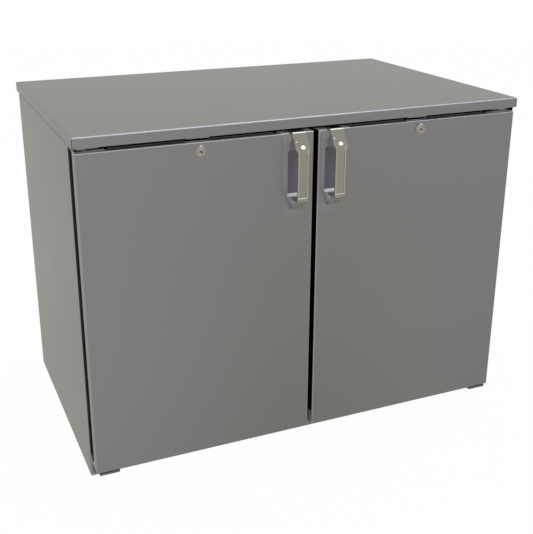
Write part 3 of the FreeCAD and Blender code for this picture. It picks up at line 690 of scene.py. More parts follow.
def grip_highlight_zones(middle: float) -> tuple[Zone, ...]:
    """Painted highlights on the borders at both sides of a handle's grip, the right one lighter.

    Args:
        middle: Where the handle lies along X.

    Returns:
        The zones.
    """
    low, high, front = 0.7420, 0.8630, -0.4250
    inner, outer = 10.2 * MM, 16.0 * MM
    left = (middle - outer, -FAR, low), (middle - inner, front, high)
    right = (middle + inner, -FAR, low), (middle + outer, front, high)
    return (
        Zone(*left, paint(0.63, 0.625, 0.585), 0.34, 0.8, 0.8 * MM),
        Zone(*right, paint(0.68, 0.675, 0.635), 0.34, 0.8, 0.8 * MM),
    )


def flank_light_zones(middle: float) -> tuple[Zone, ...]:
    """Painted light on the flanks of a handle's plate and foot, on the side away from the gap.

    Args:
        middle: Where the handle lies along X.

    Returns:
        The zones.
    """
    tone = paint(0.66, 0.655, 0.63)
    left = middle - 30 * MM
    plate = (left, -FAR, 0.8640), (middle - 16.8 * MM, FAR, 0.9005)
    foot = (left, -FAR, 0.7000), (middle - 13.8 * MM, FAR, 0.7300)
    return tuple(Zone(*box, tone, 0.4, 0.1, 0.6 * MM) for box in (plate, foot))


def hem_highlight_zone(middle: float) -> Zone:
    """A painted highlight on the stretch of a door's top hem beside its handle.

    Args:
        middle: Where the handle lies along X.

    Returns:
        The zone.
    """
    half = 44 * MM
    stretch = (middle - half, -FAR, 0.8987), (middle + half, FAR, FAR)
    return Zone(*stretch, paint(0.98, 0.975, 0.93), 0.3, 0.3, 0.8 * MM)


def lock_light_zones(middle: float) -> tuple[Zone, ...]:
    """A painted glint at the top of a lock's face, and painted light on the flank of its barrel.

    Args:
        middle: Where the lock lies along X.

    Returns:
        The zones.
    """
    glint = (middle - 3.6 * MM, -FAR, 0.8902), (middle + 3.6 * MM, FAR, FAR)
    flank = (middle - 16 * MM, -0.3943, -FAR), (middle - 6 * MM, FAR, FAR)
    return (
        Zone(*glint, paint(0.98, 0.98, 0.97), 0.2, 0.5, 1.0 * MM),
        Zone(*flank, paint(0.80, 0.795, 0.77), 0.4, 0.0, 0.3 * MM),
    )


class Palette:
    """The finishes of the cooler, one or more for every material slot of the record."""

    SHEET = satin("satin_sheet", Grain.ACROSS)
    SHEET_UPRIGHT = satin("satin_upright", Grain.UPRIGHT)
    TOP = PolishedSheet(
        "worktop_sheet", STEEL_TONE, SATIN_GLOSS, Grain.ACROSS, 0.02, tint=TOP_TINT,
        zones=(
            # Painted highlight along the front top edge.
            Zone((-FAR, -FAR, 0.9352), (FAR, -0.3914, FAR), EDGE_HIGHLIGHT_TONE, 0.3),
            Zone((-FAR, -FAR, -FAR), (FAR, -0.3900, 0.9126), SEAM_AND_SHADE_TONE, 0.5),
            Zone((-FAR, -FAR, -FAR), (-0.6082, -0.3915, 0.9352), SEAM_AND_SHADE_TONE, 0.5),
            Zone((0.6082, -FAR, -FAR), (FAR, -0.3915, 0.9352), SEAM_AND_SHADE_TONE, 0.5),
        ),
    )
    RAIL = satin(
        # Painted shadow of the worktop along the top of the rails.
        "rail_sheet", Grain.DEEP, Zone((-FAR, -FAR, 0.9030), (FAR, FAR, FAR), SEAM_AND_SHADE_TONE, 0.5)
    )
    DOOR = satin(
        "door_sheet", Grain.UPRIGHT, *scoop_painted_light(-HANDLE_MIDDLE), *scoop_painted_light(HANDLE_MIDDLE),
        # Painted highlights along the top hem of each door, lighter on the left door.
        Zone((-FAR, -FAR, 0.8987), (0.0, FAR, FAR), paint(0.84, 0.835, 0.865), 0.34, 0.6, 0.8 * MM),
        Zone((0.0, -FAR, 0.8989), (FAR, FAR, FAR), paint(0.80, 0.795, 0.825), 0.34, 0.6, 0.8 * MM),
        # Painted highlights down the doors' front edges by the middle gap, lighter on the right door.
        Zone(
            (0.0040, -FAR, -FAR), (0.0105, -0.3890, 0.8990), paint(0.60, 0.59, 0.59),
            SATIN_GLOSS, soft=1.0 * MM,
        ),
        Zone(
            (-0.0105, -FAR, -FAR), (-0.0040, -0.3890, 0.8990), paint(0.56, 0.55, 0.55),
            SATIN_GLOSS, soft=1.0 * MM,
        ),
        # A painted glint low on the right door's flank in the middle gap.
        Zone((0.0045, -0.3885, -FAR), (0.0085, FAR, 0.0985), paint(0.67, 0.66, 0.70), 0.45, 0.1, 1.0 * MM),
        hem_highlight_zone(-HANDLE_MIDDLE), hem_highlight_zone(HANDLE_MIDDLE),
    )
    HANDLE = PolishedSheet(
        "satin_casting", paint(0.570, 0.563, 0.515), 0.36, Grain.CAST, 0.03, 0.1, 0.00006, 0.85,
        tint=STEEL_TINT,
        zones=(
            # Painted shade: the upper plate darker than the rest of the casting.
            Zone(
                (-FAR, -FAR, 0.8650), (FAR, FAR, 0.9200), paint(0.537, 0.531, 0.486), 0.36, 0.85, 1.0 * MM
            ),
            # Painted highlight on the bend at the top of the plate.
            Zone((-FAR, -FAR, 0.9010), (FAR, -0.3930, FAR), paint(0.99, 0.99, 0.98), 0.25, 0.95),
            # Painted highlight along the ledge at the foot of the grip.
            Zone(
                (-FAR, -FAR, 0.7398), (FAR, -0.4281, 0.7414), paint(0.95, 0.95, 0.93), 0.3, 0.6, 0.3 * MM
            ),
            # Painted light on the part of the flange that wraps over the door's top.
            Zone((-FAR, -0.3900, 0.8950), (FAR, FAR, 0.9012), paint(0.96, 0.955, 0.92), 0.4, 0.1),
            Zone((-FAR, -FAR, 0.70), (FAR, FAR, 0.7298), paint(0.62, 0.616, 0.61), 0.4, 0.4),
            # Painted light on the sides and back of the grip.
            Zone((-FAR, -0.4248, 0.7330), (FAR, -0.3960, 0.8640), paint(0.92, 0.92, 0.90), 0.4, 0.1),
            *grip_highlight_zones(-HANDLE_MIDDLE), *grip_highlight_zones(HANDLE_MIDDLE),
            *flank_light_zones(-HANDLE_MIDDLE), *flank_light_zones(HANDLE_MIDDLE),
        ),
    )
    BOARD = ChipBoard("filler_board", paint(0.55, 0.43, 0.3), 0.85)
    FOAM = Foam("rigid_foam", paint(0.86, 0.8, 0.62), 0.95)
    LINER = PolishedSheet("liner_sheet", paint(0.72, 0.72, 0.71), 0.42, Grain.UPRIGHT, 0.03, 0.1)
    BLACK = Moulding("black_moulding", paint(0.11, 0.11, 0.125), 0.48)
    FRAME = Moulding("frame_moulding", paint(0.115, 0.112, 0.13), 0.6, shine=0.0)
    SEAL = Moulding("soft_seal", paint(0.13, 0.13, 0.15), 0.62, 2200.0, 0.00005, 0.18)
    # Pale tone painted as light on the door caps, which lie in the shade under the worktop; darker along
    # their front.
    CAP = PolishedSheet(
        "cap_moulding", paint(0.90, 0.89, 0.95), 0.55, Grain.CAST, 0.06, 0.1, 0.00008, 0.0,
        zones=(
            Zone((-FAR, -FAR, -FAR), (FAR, -0.3650, FAR), paint(0.30, 0.295, 0.32), 0.55, 0.0, 1.5 * MM),
        ),
    )
    # Pale, mostly matt zinc tone: the paleness is painted light that lifts the brackets out of the shade
    # under the worktop. Their back and lower part are dark.
    HINGE = PolishedSheet(
        "hinge_plate", paint(0.84, 0.84, 0.85), 0.42, Grain.CAST, 0.04, 0.12, 0.00008, 0.2,
        zones=(Zone((-FAR, -0.3235, 0.5), (FAR, FAR, 0.9055), paint(0.12, 0.12, 0.135), 0.5, 0.2),),
    )
    HINGE_LOW = PolishedSheet(
        "hinge_low", paint(0.42, 0.415, 0.405), 0.42, Grain.CAST, 0.05, 0.12, 0.00008, 0.6
    )
    # Pale matt tone painted as light on the hinge plates in the shade under the worktop, with a painted
    # shade on their part further back.
    HINGE_DOOR = PolishedSheet(
        "hinge_door", paint(0.95, 0.95, 0.96), 0.42, Grain.CAST, 0.03, 0.12, 0.00008, 0.0,
        zones=(
            Zone((-FAR, -0.3740, 0.5), (-0.5780, FAR, FAR), PAINTED_SHADE_TONE, 0.5, 0.2, 2 * MM),
            Zone((-0.5780, -0.3665, 0.5), (FAR, FAR, FAR), PAINTED_SHADE_TONE, 0.5, 0.2, 2 * MM),
        ),
    )
    NYLON = PolishedSheet(
        "bush_nylon", paint(0.82, 0.82, 0.81), 0.45, Grain.CAST, 0.04, 0.1, 0.00006, 0.0,
        # Painted shade along the lower edge of the bushes.
        zones=(Zone((-FAR, -FAR, 0.5), (FAR, FAR, 0.9022), PAINTED_SHADE_TONE, 0.5, 0.0, 0.4 * MM),),
    )
    LOCK = PolishedSheet(
        "satin_chrome", paint(0.585, 0.578, 0.535), 0.28, Grain.CAST, 0.03, 0.08, 0.00003,
        zones=(*lock_light_zones(-LOCK_MIDDLE), *lock_light_zones(LOCK_MIDDLE)),
    )
    PLUG = PolishedSheet(
        "lock_plug", paint(0.63, 0.625, 0.585), 0.3, Grain.CAST, 0.04, 0.1, 0.00004,
        zones=(
            # Painted shade inside the key slot, behind the plug's face.
            Zone((-FAR, -0.3942, -FAR), (FAR, -0.3870, FAR), paint(0.1, 0.1, 0.095), 0.5, 0.2, 0.2 * MM),
        ),
    )
    WIRE = Moulding("coated_wire", paint(0.8, 0.8, 0.79), 0.35, 700.0, 0.00006, 0.05, 0.3)
    ZINC = PlatedSteel("zinc_plate", paint(0.66, 0.67, 0.68), 0.38)
    FIN = PolishedSheet("coil_fins", paint(0.78, 0.79, 0.8), 0.4, Grain.UPRIGHT, 0.06)
    MOTOR = Moulding("motor_paint", paint(0.15, 0.15, 0.165), 0.4, 500.0, 0.0001, 0.15, 0.2)
    FAN = Moulding("fan_moulding", paint(0.16, 0.16, 0.175), 0.35)
    PAN = Moulding("pan_moulding", paint(0.82, 0.82, 0.8), 0.3, 900.0, 0.00005, 0.05)
    COPPER = PolishedSheet("drawn_copper", paint(0.72, 0.46, 0.34), 0.34, Grain.DEEP, 0.12, 0.12)
    CONTROL = Moulding("control_moulding", paint(0.75, 0.75, 0.74), 0.35, 1100.0, 0.00004, 0.04)
    LENS = FrostedLens("frosted_lens", paint(0.92, 0.92, 0.9), 0.35)
    BUTTON = PolishedSheet(
        "polished_cap", paint(0.99, 0.99, 0.985), 0.12, Grain.CAST, 0.01, 0.03, 0.00001
    )
    SCREW = PolishedSheet("screw_steel", paint(0.6, 0.6, 0.58), 0.3, Grain.CAST, 0.05, 0.1)
    # Dark tone of the handles' foot screws, and the painted shade of the cross recess in every screw head.
    DARK_SCREW_AND_RECESS_SHADE = PolishedSheet("dark_screw_and_recess_shade", paint(0.2, 0.2, 0.2), 0.4, Grain.CAST, 0.08, 0.1)
    INK = Moulding("dial_print", paint(0.12, 0.12, 0.13), 0.5)


@dataclass(frozen=True)
class Bench:
    """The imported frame, with what is done to its nodes and to the pieces added to it."""

    frame: dict
    weld_reach: float = 0.000005
    edge_angle: float = 32.0

    def node(self, name: str) -> bpy.types.Object:
        """One CAD node's object."""
        return self.frame["nodes"][name]

    def box(self, name: str) -> tuple[Vector, Vector]:
        """Lowest and highest corner of a CAD node."""
        low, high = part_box(name)
        return Vector(low), Vector(high)

    def dress(self, name: str, finish: Finish) -> None:
        """Gives a CAD node its finish.

        Args:
            name: The node.
            finish: What it is finished in.
        """
        mesh = self.node(name).data
        mesh.materials.clear()
        mesh.materials.append(finish.material())
        LOG.info("node %s in %s", name, finish.name)

    def soften(self, name: str, width: float, segments: int = 2) -> None:
        """Breaks the sharp edges of a CAD node.

        Args:
            name: The node.
            width: Width of the broken edge.
            segments: Steps across it.
        """
        node = self.node(name)
        weld = node.modifiers.new("weld", "WELD")
        weld.merge_threshold = self.weld_reach
        edge = node.modifiers.new("edge", "BEVEL")
        edge.width = width
        edge.segments = segments
        edge.limit_method = "ANGLE"
        edge.angle_limit = math.radians(self.edge_angle)
        edge.use_clamp_overlap = True
        edge.harden_normals = True

    def add(
        self, piece: bpy.types.Object, body: str, slot: str, finish: Finish, *replaced: str
    ) -> bpy.types.Object:
        """Puts a new piece on a body.

        Args:
            piece: The piece, with its place in its mesh.
            body: The body that it moves with.
            slot: The record's material slot; not used.
            finish: What it is finished in.
            replaced: The CAD nodes that it stands for.

        Returns:
            The same piece.
        """
        if not piece.data.materials:
            piece.data.materials.append(finish.material())
        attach(piece, body)
        if replaced:
            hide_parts(*replaced)
        LOG.info("piece %s on %s, %d faces", piece.name, body, len(piece.data.polygons))
        return piece


def piece_from(name: str, shape: bmesh.types.BMesh, sharp: float = 35.0) -> bpy.types.Object:
    """Makes an object of a mesh, with its normals out and its sharp edges kept.

    Args:
        name: Name of the piece.
        shape: The mesh, which is freed.
        sharp: Angle in degrees past which an edge is kept sharp.

    Returns:
        The object, linked into the scene.
    """
    bmesh.ops.remove_doubles(shape, verts=shape.verts, dist=SAME_POINT)
    bmesh.ops.recalc_face_normals(shape, faces=shape.faces)
    for face in shape.faces:
        face.smooth = True
    limit = math.radians(sharp)
    for edge in shape.edges:
        edge.smooth = len(edge.link_faces) == 2 and edge.calc_face_angle() < limit
    mesh = bpy.data.meshes.new(name)
    shape.to_mesh(mesh)
    shape.free()
    piece = bpy.data.objects.new(name, mesh)
    bpy.context.scene.collection.objects.link(piece)
    return piece


def facing(place: Point, out: Point) -> Matrix:
    """A frame whose Z points out of a surface.

    Args:
        place: The point on the surface.
        out: The way out of it.

    Returns:
        The matrix that carries a shape from the origin to there.
    """
    turn = Vector(out).normalized().to_track_quat("Z", "Y")
    return Matrix.LocRotScale(Vector(place), turn, None)


def lathe(
    shape: bmesh.types.BMesh, profile: Sequence[tuple[float, float]], frame: Matrix, steps: int = 32
) -> None:
    """Turns a closed profile about the frame's Z and adds it to a mesh.

    Args:
        shape: The mesh.
        profile: Radius and height of each point; a radius of 0 closes the shape on its axis.
        frame: Where the shape goes.
        steps: Faces round the axis.
    """
    rings: list[Ring] = []
    for radius, height in profile:
        if radius == 0:
            rings.append([shape.verts.new(frame @ Vector((0, 0, height)))])
            continue
        turns = [2 * math.pi * step / steps for step in range(steps)]
        ring = [Vector((radius * math.cos(turn), radius * math.sin(turn), height)) for turn in turns]
        rings.append([shape.verts.new(frame @ point) for point in ring])
    on_axis = profile[0][0] == 0 and profile[-1][0] == 0
    pairs = list(zip(rings, rings[1:]))
    if not on_axis:
        pairs.append((rings[-1], rings[0]))
    for low, high in pairs:
        for step in range(steps):
            after = (step + 1) % steps
            corners = [low[step % len(low)], low[after % len(low)]]
            corners += [high[after % len(high)], high[step % len(high)]]
            face = list(dict.fromkeys(corners))
            if len(face) > 2:
                shape.faces.new(face)


def dome(radius: float, height: float) -> list[tuple[float, float]]:
    """Profile of a low dome that stands on its foot.

    Args:
        radius: Radius of its foot.
        height: Its height.

    Returns:
        Radius and height of each point.
    """
    shares = (
        (0.0, 1.0), (0.4, 0.97), (0.7, 0.84), (0.88, 0.66),
        (0.97, 0.42), (1.0, 0.2), (1.0, 0.0), (0.0, 0.0),
    )
    return [(out * radius, up * height) for out, up in shares]


def block(shape: bmesh.types.BMesh, low: Point, high: Point, frame: Matrix | None = None) -> None:
    """Adds a closed block to a mesh.

    Args:
        shape: The mesh.
        low: Its lowest corner.
        high: Its highest corner.
        frame: Where it goes, if not at rest.
    """
    size = [b - a for a, b in zip(low, high)]
    middle = [(a + b) / 2 for a, b in zip(low, high)]
    place = Matrix.Translation(Vector(middle)) @ Matrix.Diagonal(Vector((*size, 1.0)))
    bmesh.ops.create_cube(shape, size=1.0, matrix=(frame @ place) if frame else place)


class Pattern:
    """A Geometry Nodes tree that is run once and turned into a plain mesh."""

    def __init__(self, name: str) -> None:
        """Starts a tree with a geometry and a finish.

        Args:
            name: Name of the tree.
        """
        self.tree = bpy.data.node_groups.new(name, "GeometryNodeTree")
        self.sheet = NodeSheet(self.tree)
        self.values: dict[str, Value] = {}
        self.inputs: dict[str, str] = {}
        self._socket("Geometry", "NodeSocketGeometry")
        self._socket("Finish", "NodeSocketMaterial")
        self.tree.interface.new_socket(name="Geometry", in_out="OUTPUT", socket_type="NodeSocketGeometry")

    def _socket(self, name: str, kind: str) -> None:
        """Declares one named input."""
        item = self.tree.interface.new_socket(name=name, in_out="INPUT", socket_type=kind)
        self.inputs[name] = item.identifier

    def size(self, name: str, value: Value, kind: str = "NodeSocketFloat") -> Sock:
        """Declares a named input and its value.

        Args:
            name: What the size is called.
            value: Its value.
            kind: The type of its socket.

        Returns:
            The input, for use in the tree.
        """
        self._socket(name, kind)
        self.values[name] = value
        return self.given(name)

    def given(self, name: str) -> Sock:
        """An input that has been declared."""
        return self.sheet.add("NodeGroupInput", out=name)

    def add(
        self, kind: str, sockets: Mapping[str | int, Value | Sequence[Sock]] | None = None,
        out: str | int = 0, **settings: object,
    ) -> Sock:
        """Adds one node to the tree, its settings being given by name."""
        return self.sheet.add(kind, settings, sockets, out)

    def vector(self, x: Value = 0.0, y: Value = 0.0, z: Value = 0.0) -> Sock:
        """A vector of three values."""
        return self.add("ShaderNodeCombineXYZ", {0: x, 1: y, 2: z})

    def row(self, count: Value, start: Sock, step: Sock) -> Sock:
        """A row of points.

        Args:
            count: How many.
            start: The first point.
            step: From each to the next.

        Returns:
            The points.
        """
        return self.add("GeometryNodeMeshLine", {"Count": count, "Start Location": start, "Offset": step})

    def repeat(self, points: Sock, shape: Sock) -> Sock:
        """A shape at every point."""
        return self.add("GeometryNodeInstanceOnPoints", {"Points": points, "Instance": shape})

    def wire(self, path: Sock, radius: Value, sides: int = 10) -> Sock:
        """A round wire along a path.

        Args:
            path: The path.
            radius: Radius of the wire.
            sides: Faces round it.

        Returns:
            The closed wire.
        """
        ring = self.add("GeometryNodeCurvePrimitiveCircle", {"Resolution": sides, "Radius": radius})
        sockets = {"Curve": path, "Profile Curve": ring, "Fill Caps": True}
        return self.add("GeometryNodeCurveToMesh", sockets)

    def line(self, start: Sock, end: Sock) -> Sock:
        """A straight path."""
        return self.add("GeometryNodeCurvePrimitiveLine", {"Start": start, "End": end})

    def join(self, *shapes: Sock) -> Sock:
        """Several shapes as one."""
        return self.add("GeometryNodeJoinGeometry", {"Geometry": list(shapes)})

    def run(
        self, name: str, result: Sock, finish: Finish, source: bpy.types.Mesh | None = None
    ) -> bpy.types.Object:
        """Ends the tree, runs it and keeps its result.

        Args:
            name: Name of the piece.
            result: What the tree makes.
            finish: What the piece is finished in.
            source: Points or faces that the tree starts from.

        Returns:
            The piece as a plain mesh, at the origin.
        """
        real = self.add("GeometryNodeRealizeInstances", {"Geometry": result})
        done = self.add("GeometryNodeSetMaterial", {"Geometry": real, "Material": self.given("Finish")})
        self.sheet.add("NodeGroupOutput", None, {0: done})
        piece = bpy.data.objects.new(name, source or bpy.data.meshes.new(f"{name}_source"))
        bpy.context.scene.collection.objects.link(piece)
        nodes = piece.modifiers.new("pattern", "NODES")
        nodes.node_group = self.tree
        for key, value in {**self.values, "Finish": finish.material()}.items():
            nodes[self.inputs[key]] = value
        view = bpy.context.evaluated_depsgraph_get()
        mesh = bpy.data.meshes.new_from_object(piece.evaluated_get(view))
        mesh.name = name
        piece.modifiers.remove(nodes)
        piece.data = mesh
        return piece


def stamped(
    name: str, shape: bpy.types.Object, finish: Finish, places: Sequence[tuple[Point, Point]]
) -> bpy.types.Object:
    """Sets one shape at every place as a single mesh.

    Args:
        name: Name of the piece.
        shape: The shape, on the origin, which is used up.
        finish: What the piece is finished in.
        places: Point and turn about X, Y and Z of each copy.

    Returns:
        The piece.
    """
    source = bpy.data.meshes.new(f"{name}_source")
    source.from_pydata([place for place, _ in places], [], [])
    turns = source.attributes.new("turn", "FLOAT_VECTOR", "POINT")
    for item, (_, turn) in zip(turns.data, places):
        item.vector = turn
    work = Pattern(name)
    item = work.size("Shape", shape, "NodeSocketObject")
    turn = work.add("GeometryNodeInputNamedAttribute", {"Name": "turn"}, data_type="FLOAT_VECTOR")
    points = work.add("GeometryNodeMeshToPoints", {"Mesh": work.given("Geometry")})
    solid = work.add("GeometryNodeObjectInfo", {"Object": item}, out="Geometry")
    rotation = work.add("FunctionNodeEulerToRotation", {"Euler": turn})
    sockets = {"Points": points, "Instance": solid, "Rotation": rotation}
    piece = work.run(name, work.add("GeometryNodeInstanceOnPoints", sockets), finish, source)
    bpy.data.objects.remove(shape)
    return piece


@dataclass(frozen=True)
class Screw:
    """A screw head, and the rows of it that a body carries."""

    radius: float = 4.2 * MM
    height: float = 2.4 * MM
    recess: float = 0.9 * MM
    steps: int = 20
    seed: int = 7
    shares: Pairs = (
        (0.0, 1.0), (0.45, 0.95), (0.75, 0.78), (0.94, 0.45), (1.0, 0.12), (1.0, -0.1), (0.0, -0.1),
    )
    arm_share: float = 0.55
    half_share: float = 0.11
    top_share: float = 0.975
    arm_step: float = 0.01 * MM

    def head(self) -> bpy.types.Object:
        """Builds one head on the origin; its cross recess is not cut, the dark cross stands for it.

        Returns:
            The head, which is only a source for rows.
        """
        shape = bmesh.new()
        profile = [(out * self.radius, up * self.height) for out, up in self.shares]
        lathe(shape, profile, Matrix.Identity(4), self.steps)
        return piece_from("screw_head", shape)

    def cross(self) -> bpy.types.Object:
        """Builds the dark cross that lies in a head, a painted shade that stands for its cross recess.

        Returns:
            The cross, which is only a source for rows.
        """
        shape = bmesh.new()
        arm, half = self.arm_share * self.radius, self.half_share * self.radius
        top = self.top_share * self.height
        low = top - self.recess
        block(shape, (-arm, -half, low), (arm, half, top))
        block(shape, (-half, -arm, low), (half, arm, top + self.arm_step))
        return piece_from("screw_cross", shape)

    def rows(
        self, bench: Bench, name: str, body: str, slot: str, places: Sequence[tuple[Point, Point]],
        finish: Finish = Palette.SCREW,
    ) -> None:
        """Puts a head at every place, all as one piece on one body.

        Args:
            bench: The frame.
            name: Name of the piece.
            body: The body.
            slot: The record's material slot.
            places: Point and outward direction of each head.
            finish: What the heads are finished in.
        """
        source = bpy.data.meshes.new(f"{name}_source")
        source.from_pydata([place for place, _ in places], [], [])
        axes = source.attributes.new("axis", "FLOAT_VECTOR", "POINT")
        for item, (_, out) in zip(axes.data, places):
            item.vector = out
        head, cross = self.head(), self.cross()
        heads = self._pattern(f"{name}_heads", head, finish, source.copy())
        marks = self._pattern(f"{name}_marks", cross, Palette.DARK_SCREW_AND_RECESS_SHADE, source)
        for used in (head, cross):
            bpy.data.objects.remove(used)
        bench.add(heads, body, slot, finish)
        bench.add(marks, body, slot, Palette.DARK_SCREW_AND_RECESS_SHADE)

    def _pattern(
        self, name: str, shape: bpy.types.Object, finish: Finish, source: bpy.types.Mesh
    ) -> bpy.types.Object:
        """Sets one shape on every point of the source, turned at random about its axis.

        Args:
            name: Name of the piece.
            shape: The shape, on the origin.
            finish: What the piece is finished in.
            source: The points, each with its axis.

        Returns:
            The piece.
        """
        work = Pattern(name)
        item = work.size("Shape", shape, "NodeSocketObject")
        seed = work.size("Seed", self.seed, "NodeSocketInt")
        axis = work.add("GeometryNodeInputNamedAttribute", {"Name": "axis"}, data_type="FLOAT_VECTOR")
        turn = work.add("FunctionNodeAlignRotationToVector", {"Vector": axis}, axis="Z")
        points = work.add("GeometryNodeMeshToPoints", {"Mesh": work.given("Geometry")})
        solid = work.add("GeometryNodeObjectInfo", {"Object": item}, out="Geometry")
        sockets = {"Points": points, "Instance": solid, "Rotation": turn}
        placed = work.add("GeometryNodeInstanceOnPoints", sockets)
        spin = work.add("FunctionNodeRandomValue", {"Max": math.pi, "Seed": seed}, out=1, data_type="FLOAT")
        angle = work.vector(z=spin)
        spun = work.add("GeometryNodeRotateInstances", {"Instances": placed, "Rotation": angle})
        return work.run(name, spun, finish, source)


@dataclass(frozen=True)
class Assembly:
    """A sub-assembly of the cooler."""

    bench: Bench

    def dress(self) -> None:
        """Gives the nodes of the assembly their finishes."""
        raise NotImplementedError

    def build(self) -> None:
        """Adds the assembly's own pieces, where it has any."""


@dataclass(frozen=True)
class Worktop(Assembly):
    """The folded top with its filler board and the rails that carry it."""

    def dress(self) -> None:
        """Finishes the top, its board and its rails."""
        self.bench.dress("worktop", Palette.TOP)
        self.bench.dress("worktop_core", Palette.BOARD)
        self.bench.dress("top_rails", Palette.RAIL)


@dataclass(frozen=True)
class Shell(Assembly):
    """Outer panels, foam and the front frame of the cabinet."""

    screw: Screw = Screw(height=1.1 * MM, recess=0.5 * MM)
    screw_pitch: float = 150 * MM
    screw_inset: float = 14 * MM

    def dress(self) -> None:
        """Finishes the panels, the foam and the frame."""
        for name in ("side_panel_left", "side_panel_right"):
            self.bench.dress(name, Palette.SHEET_UPRIGHT)
        self.bench.dress("back_panel", Palette.ZINC)
        self.bench.dress("base_pan", Palette.SHEET)
        self.bench.dress("top_panel", Palette.ZINC)
        self.bench.dress("insulation", Palette.FOAM)
        for name in ("frame_stiles", "frame_rails", "center_mullion"):
            self.bench.dress(name, Palette.BLACK)
        for name in ("liner_sides", "liner_back", "liner_ceiling", "liner_floor"):
            self.bench.dress(name, Palette.LINER)

    def build(self) -> None:
        """Puts the rows of screws on the back panel."""
        low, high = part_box("back_panel")
        places: list[tuple[Point, Point]] = []
        back = high[1]
        left, right = low[0] + self.screw_inset, high[0] - self.screw_inset
        bottom, top = low[2] + self.screw_inset, high[2] - self.screw_inset
        across = max(2, round((right - left) / self.screw_pitch))
        upright = max(2, round((top - bottom) / self.screw_pitch))
        for step in range(across + 1):
            x = left + (right - left) * step / across
            places += [((x, back, z), (0, 1, 0)) for z in (bottom, top)]
        for step in range(1, upright):
            z = bottom + (top - bottom) * step / upright
            places += [((x, back, z), (0, 1, 0)) for x in (left, right)]
        self.screw.rows(self.bench, "back_panel_screws", "cabinet", "zinc_steel", places)


@dataclass(frozen=True)
class Hinges(Assembly):
    """Brackets with their pins, and the plates and bushes that turn on them."""

    def dress(self) -> None:
        """Finishes the plates, the bushes and the lock strikes."""
        self.bench.dress("upper_hinge_brackets", Palette.HINGE)
        self.bench.dress("lower_hinge_brackets", Palette.HINGE_LOW)
        for side in Side:
            self.bench.dress(side.node("hinge_plates"), Palette.HINGE_DOOR)
            self.bench.dress(side.node("hinge_bushes"), Palette.NYLON)
        self.bench.dress("lock_strikes", Palette.HINGE)


@dataclass(frozen=True)
class Door(Assembly):
    """One door: its pan, foam, cap, frame, inner liner and seal.

    The seal's section is given in millimetres: how far each point lies inside the flank, and its
    rise over the frame or its drop below the crown.
    """

    side: Side
    seal_width: float = 18 * MM
    seal_foot: Pairs = (
        (0.0, 0.0), (0.0, 2.2), (0.5, 2.9), (4.2, 3.5), (2.4, 5.3), (4.4, 7.0), (1.6, 8.3), (0.4, 8.8),
        (0.0, 9.6),
    )
    seal_crown: Pairs = ((0.0, 1.1), (0.6, 0.35), (2.0, 0.0), (5.6, 0.0), (6.2, 0.5))
    seal_sharp: float = 50.0

    def dress(self) -> None:
        """Finishes the pieces of the door."""
        finishes = {
            "door_skin": Palette.DOOR, "door_core": Palette.FOAM, "door_cap": Palette.CAP,
            "door_frame": Palette.FRAME, "door_liner": Palette.LINER,
        }
        for stem, finish in finishes.items():
            self.bench.dress(self.side.node(stem), finish)

    def build(self) -> None:
        """Makes the ribbed seal that lies on the frame."""
        node = self.side.node("gasket")
        low, high = self.bench.box(node)
        depth = (high.y - low.y) / MM
        half = self.seal_width / MM / 2
        flank = [(half - inset, rise) for inset, rise in self.seal_foot]
        flank += [(half - inset, depth - drop) for inset, drop in self.seal_crown]
        profile = flank + [(-out, rise) for out, rise in reversed(flank)]
        middle = (low + high) / 2
        reach = (high - low) / 2 - Vector((1, 0, 1)) * self.seal_width / 2
        shape = bmesh.new()
        loops = []
        for sign_x, sign_z in ((1, 1), (-1, 1), (-1, -1), (1, -1)):
            loop = []
            for out, rise in profile:
                x = middle.x + sign_x * (reach.x + out * MM)
                z = middle.z + sign_z * (reach.z + out * MM)
                loop.append(shape.verts.new((x, low.y + rise * MM, z)))
            loops.append(loop)
        count = len(profile)
        for index, loop in enumerate(loops):
            after = loops[(index + 1) % len(loops)]
            for k in range(count):
                j = (k + 1) % count
                shape.faces.new((loop[k], loop[j], after[j], after[k]))
        seal = piece_from(self.side.node("ribbed_seal"), shape, self.seal_sharp)
        self.bench.add(seal, self.side.door, "seal", Palette.SEAL, node)


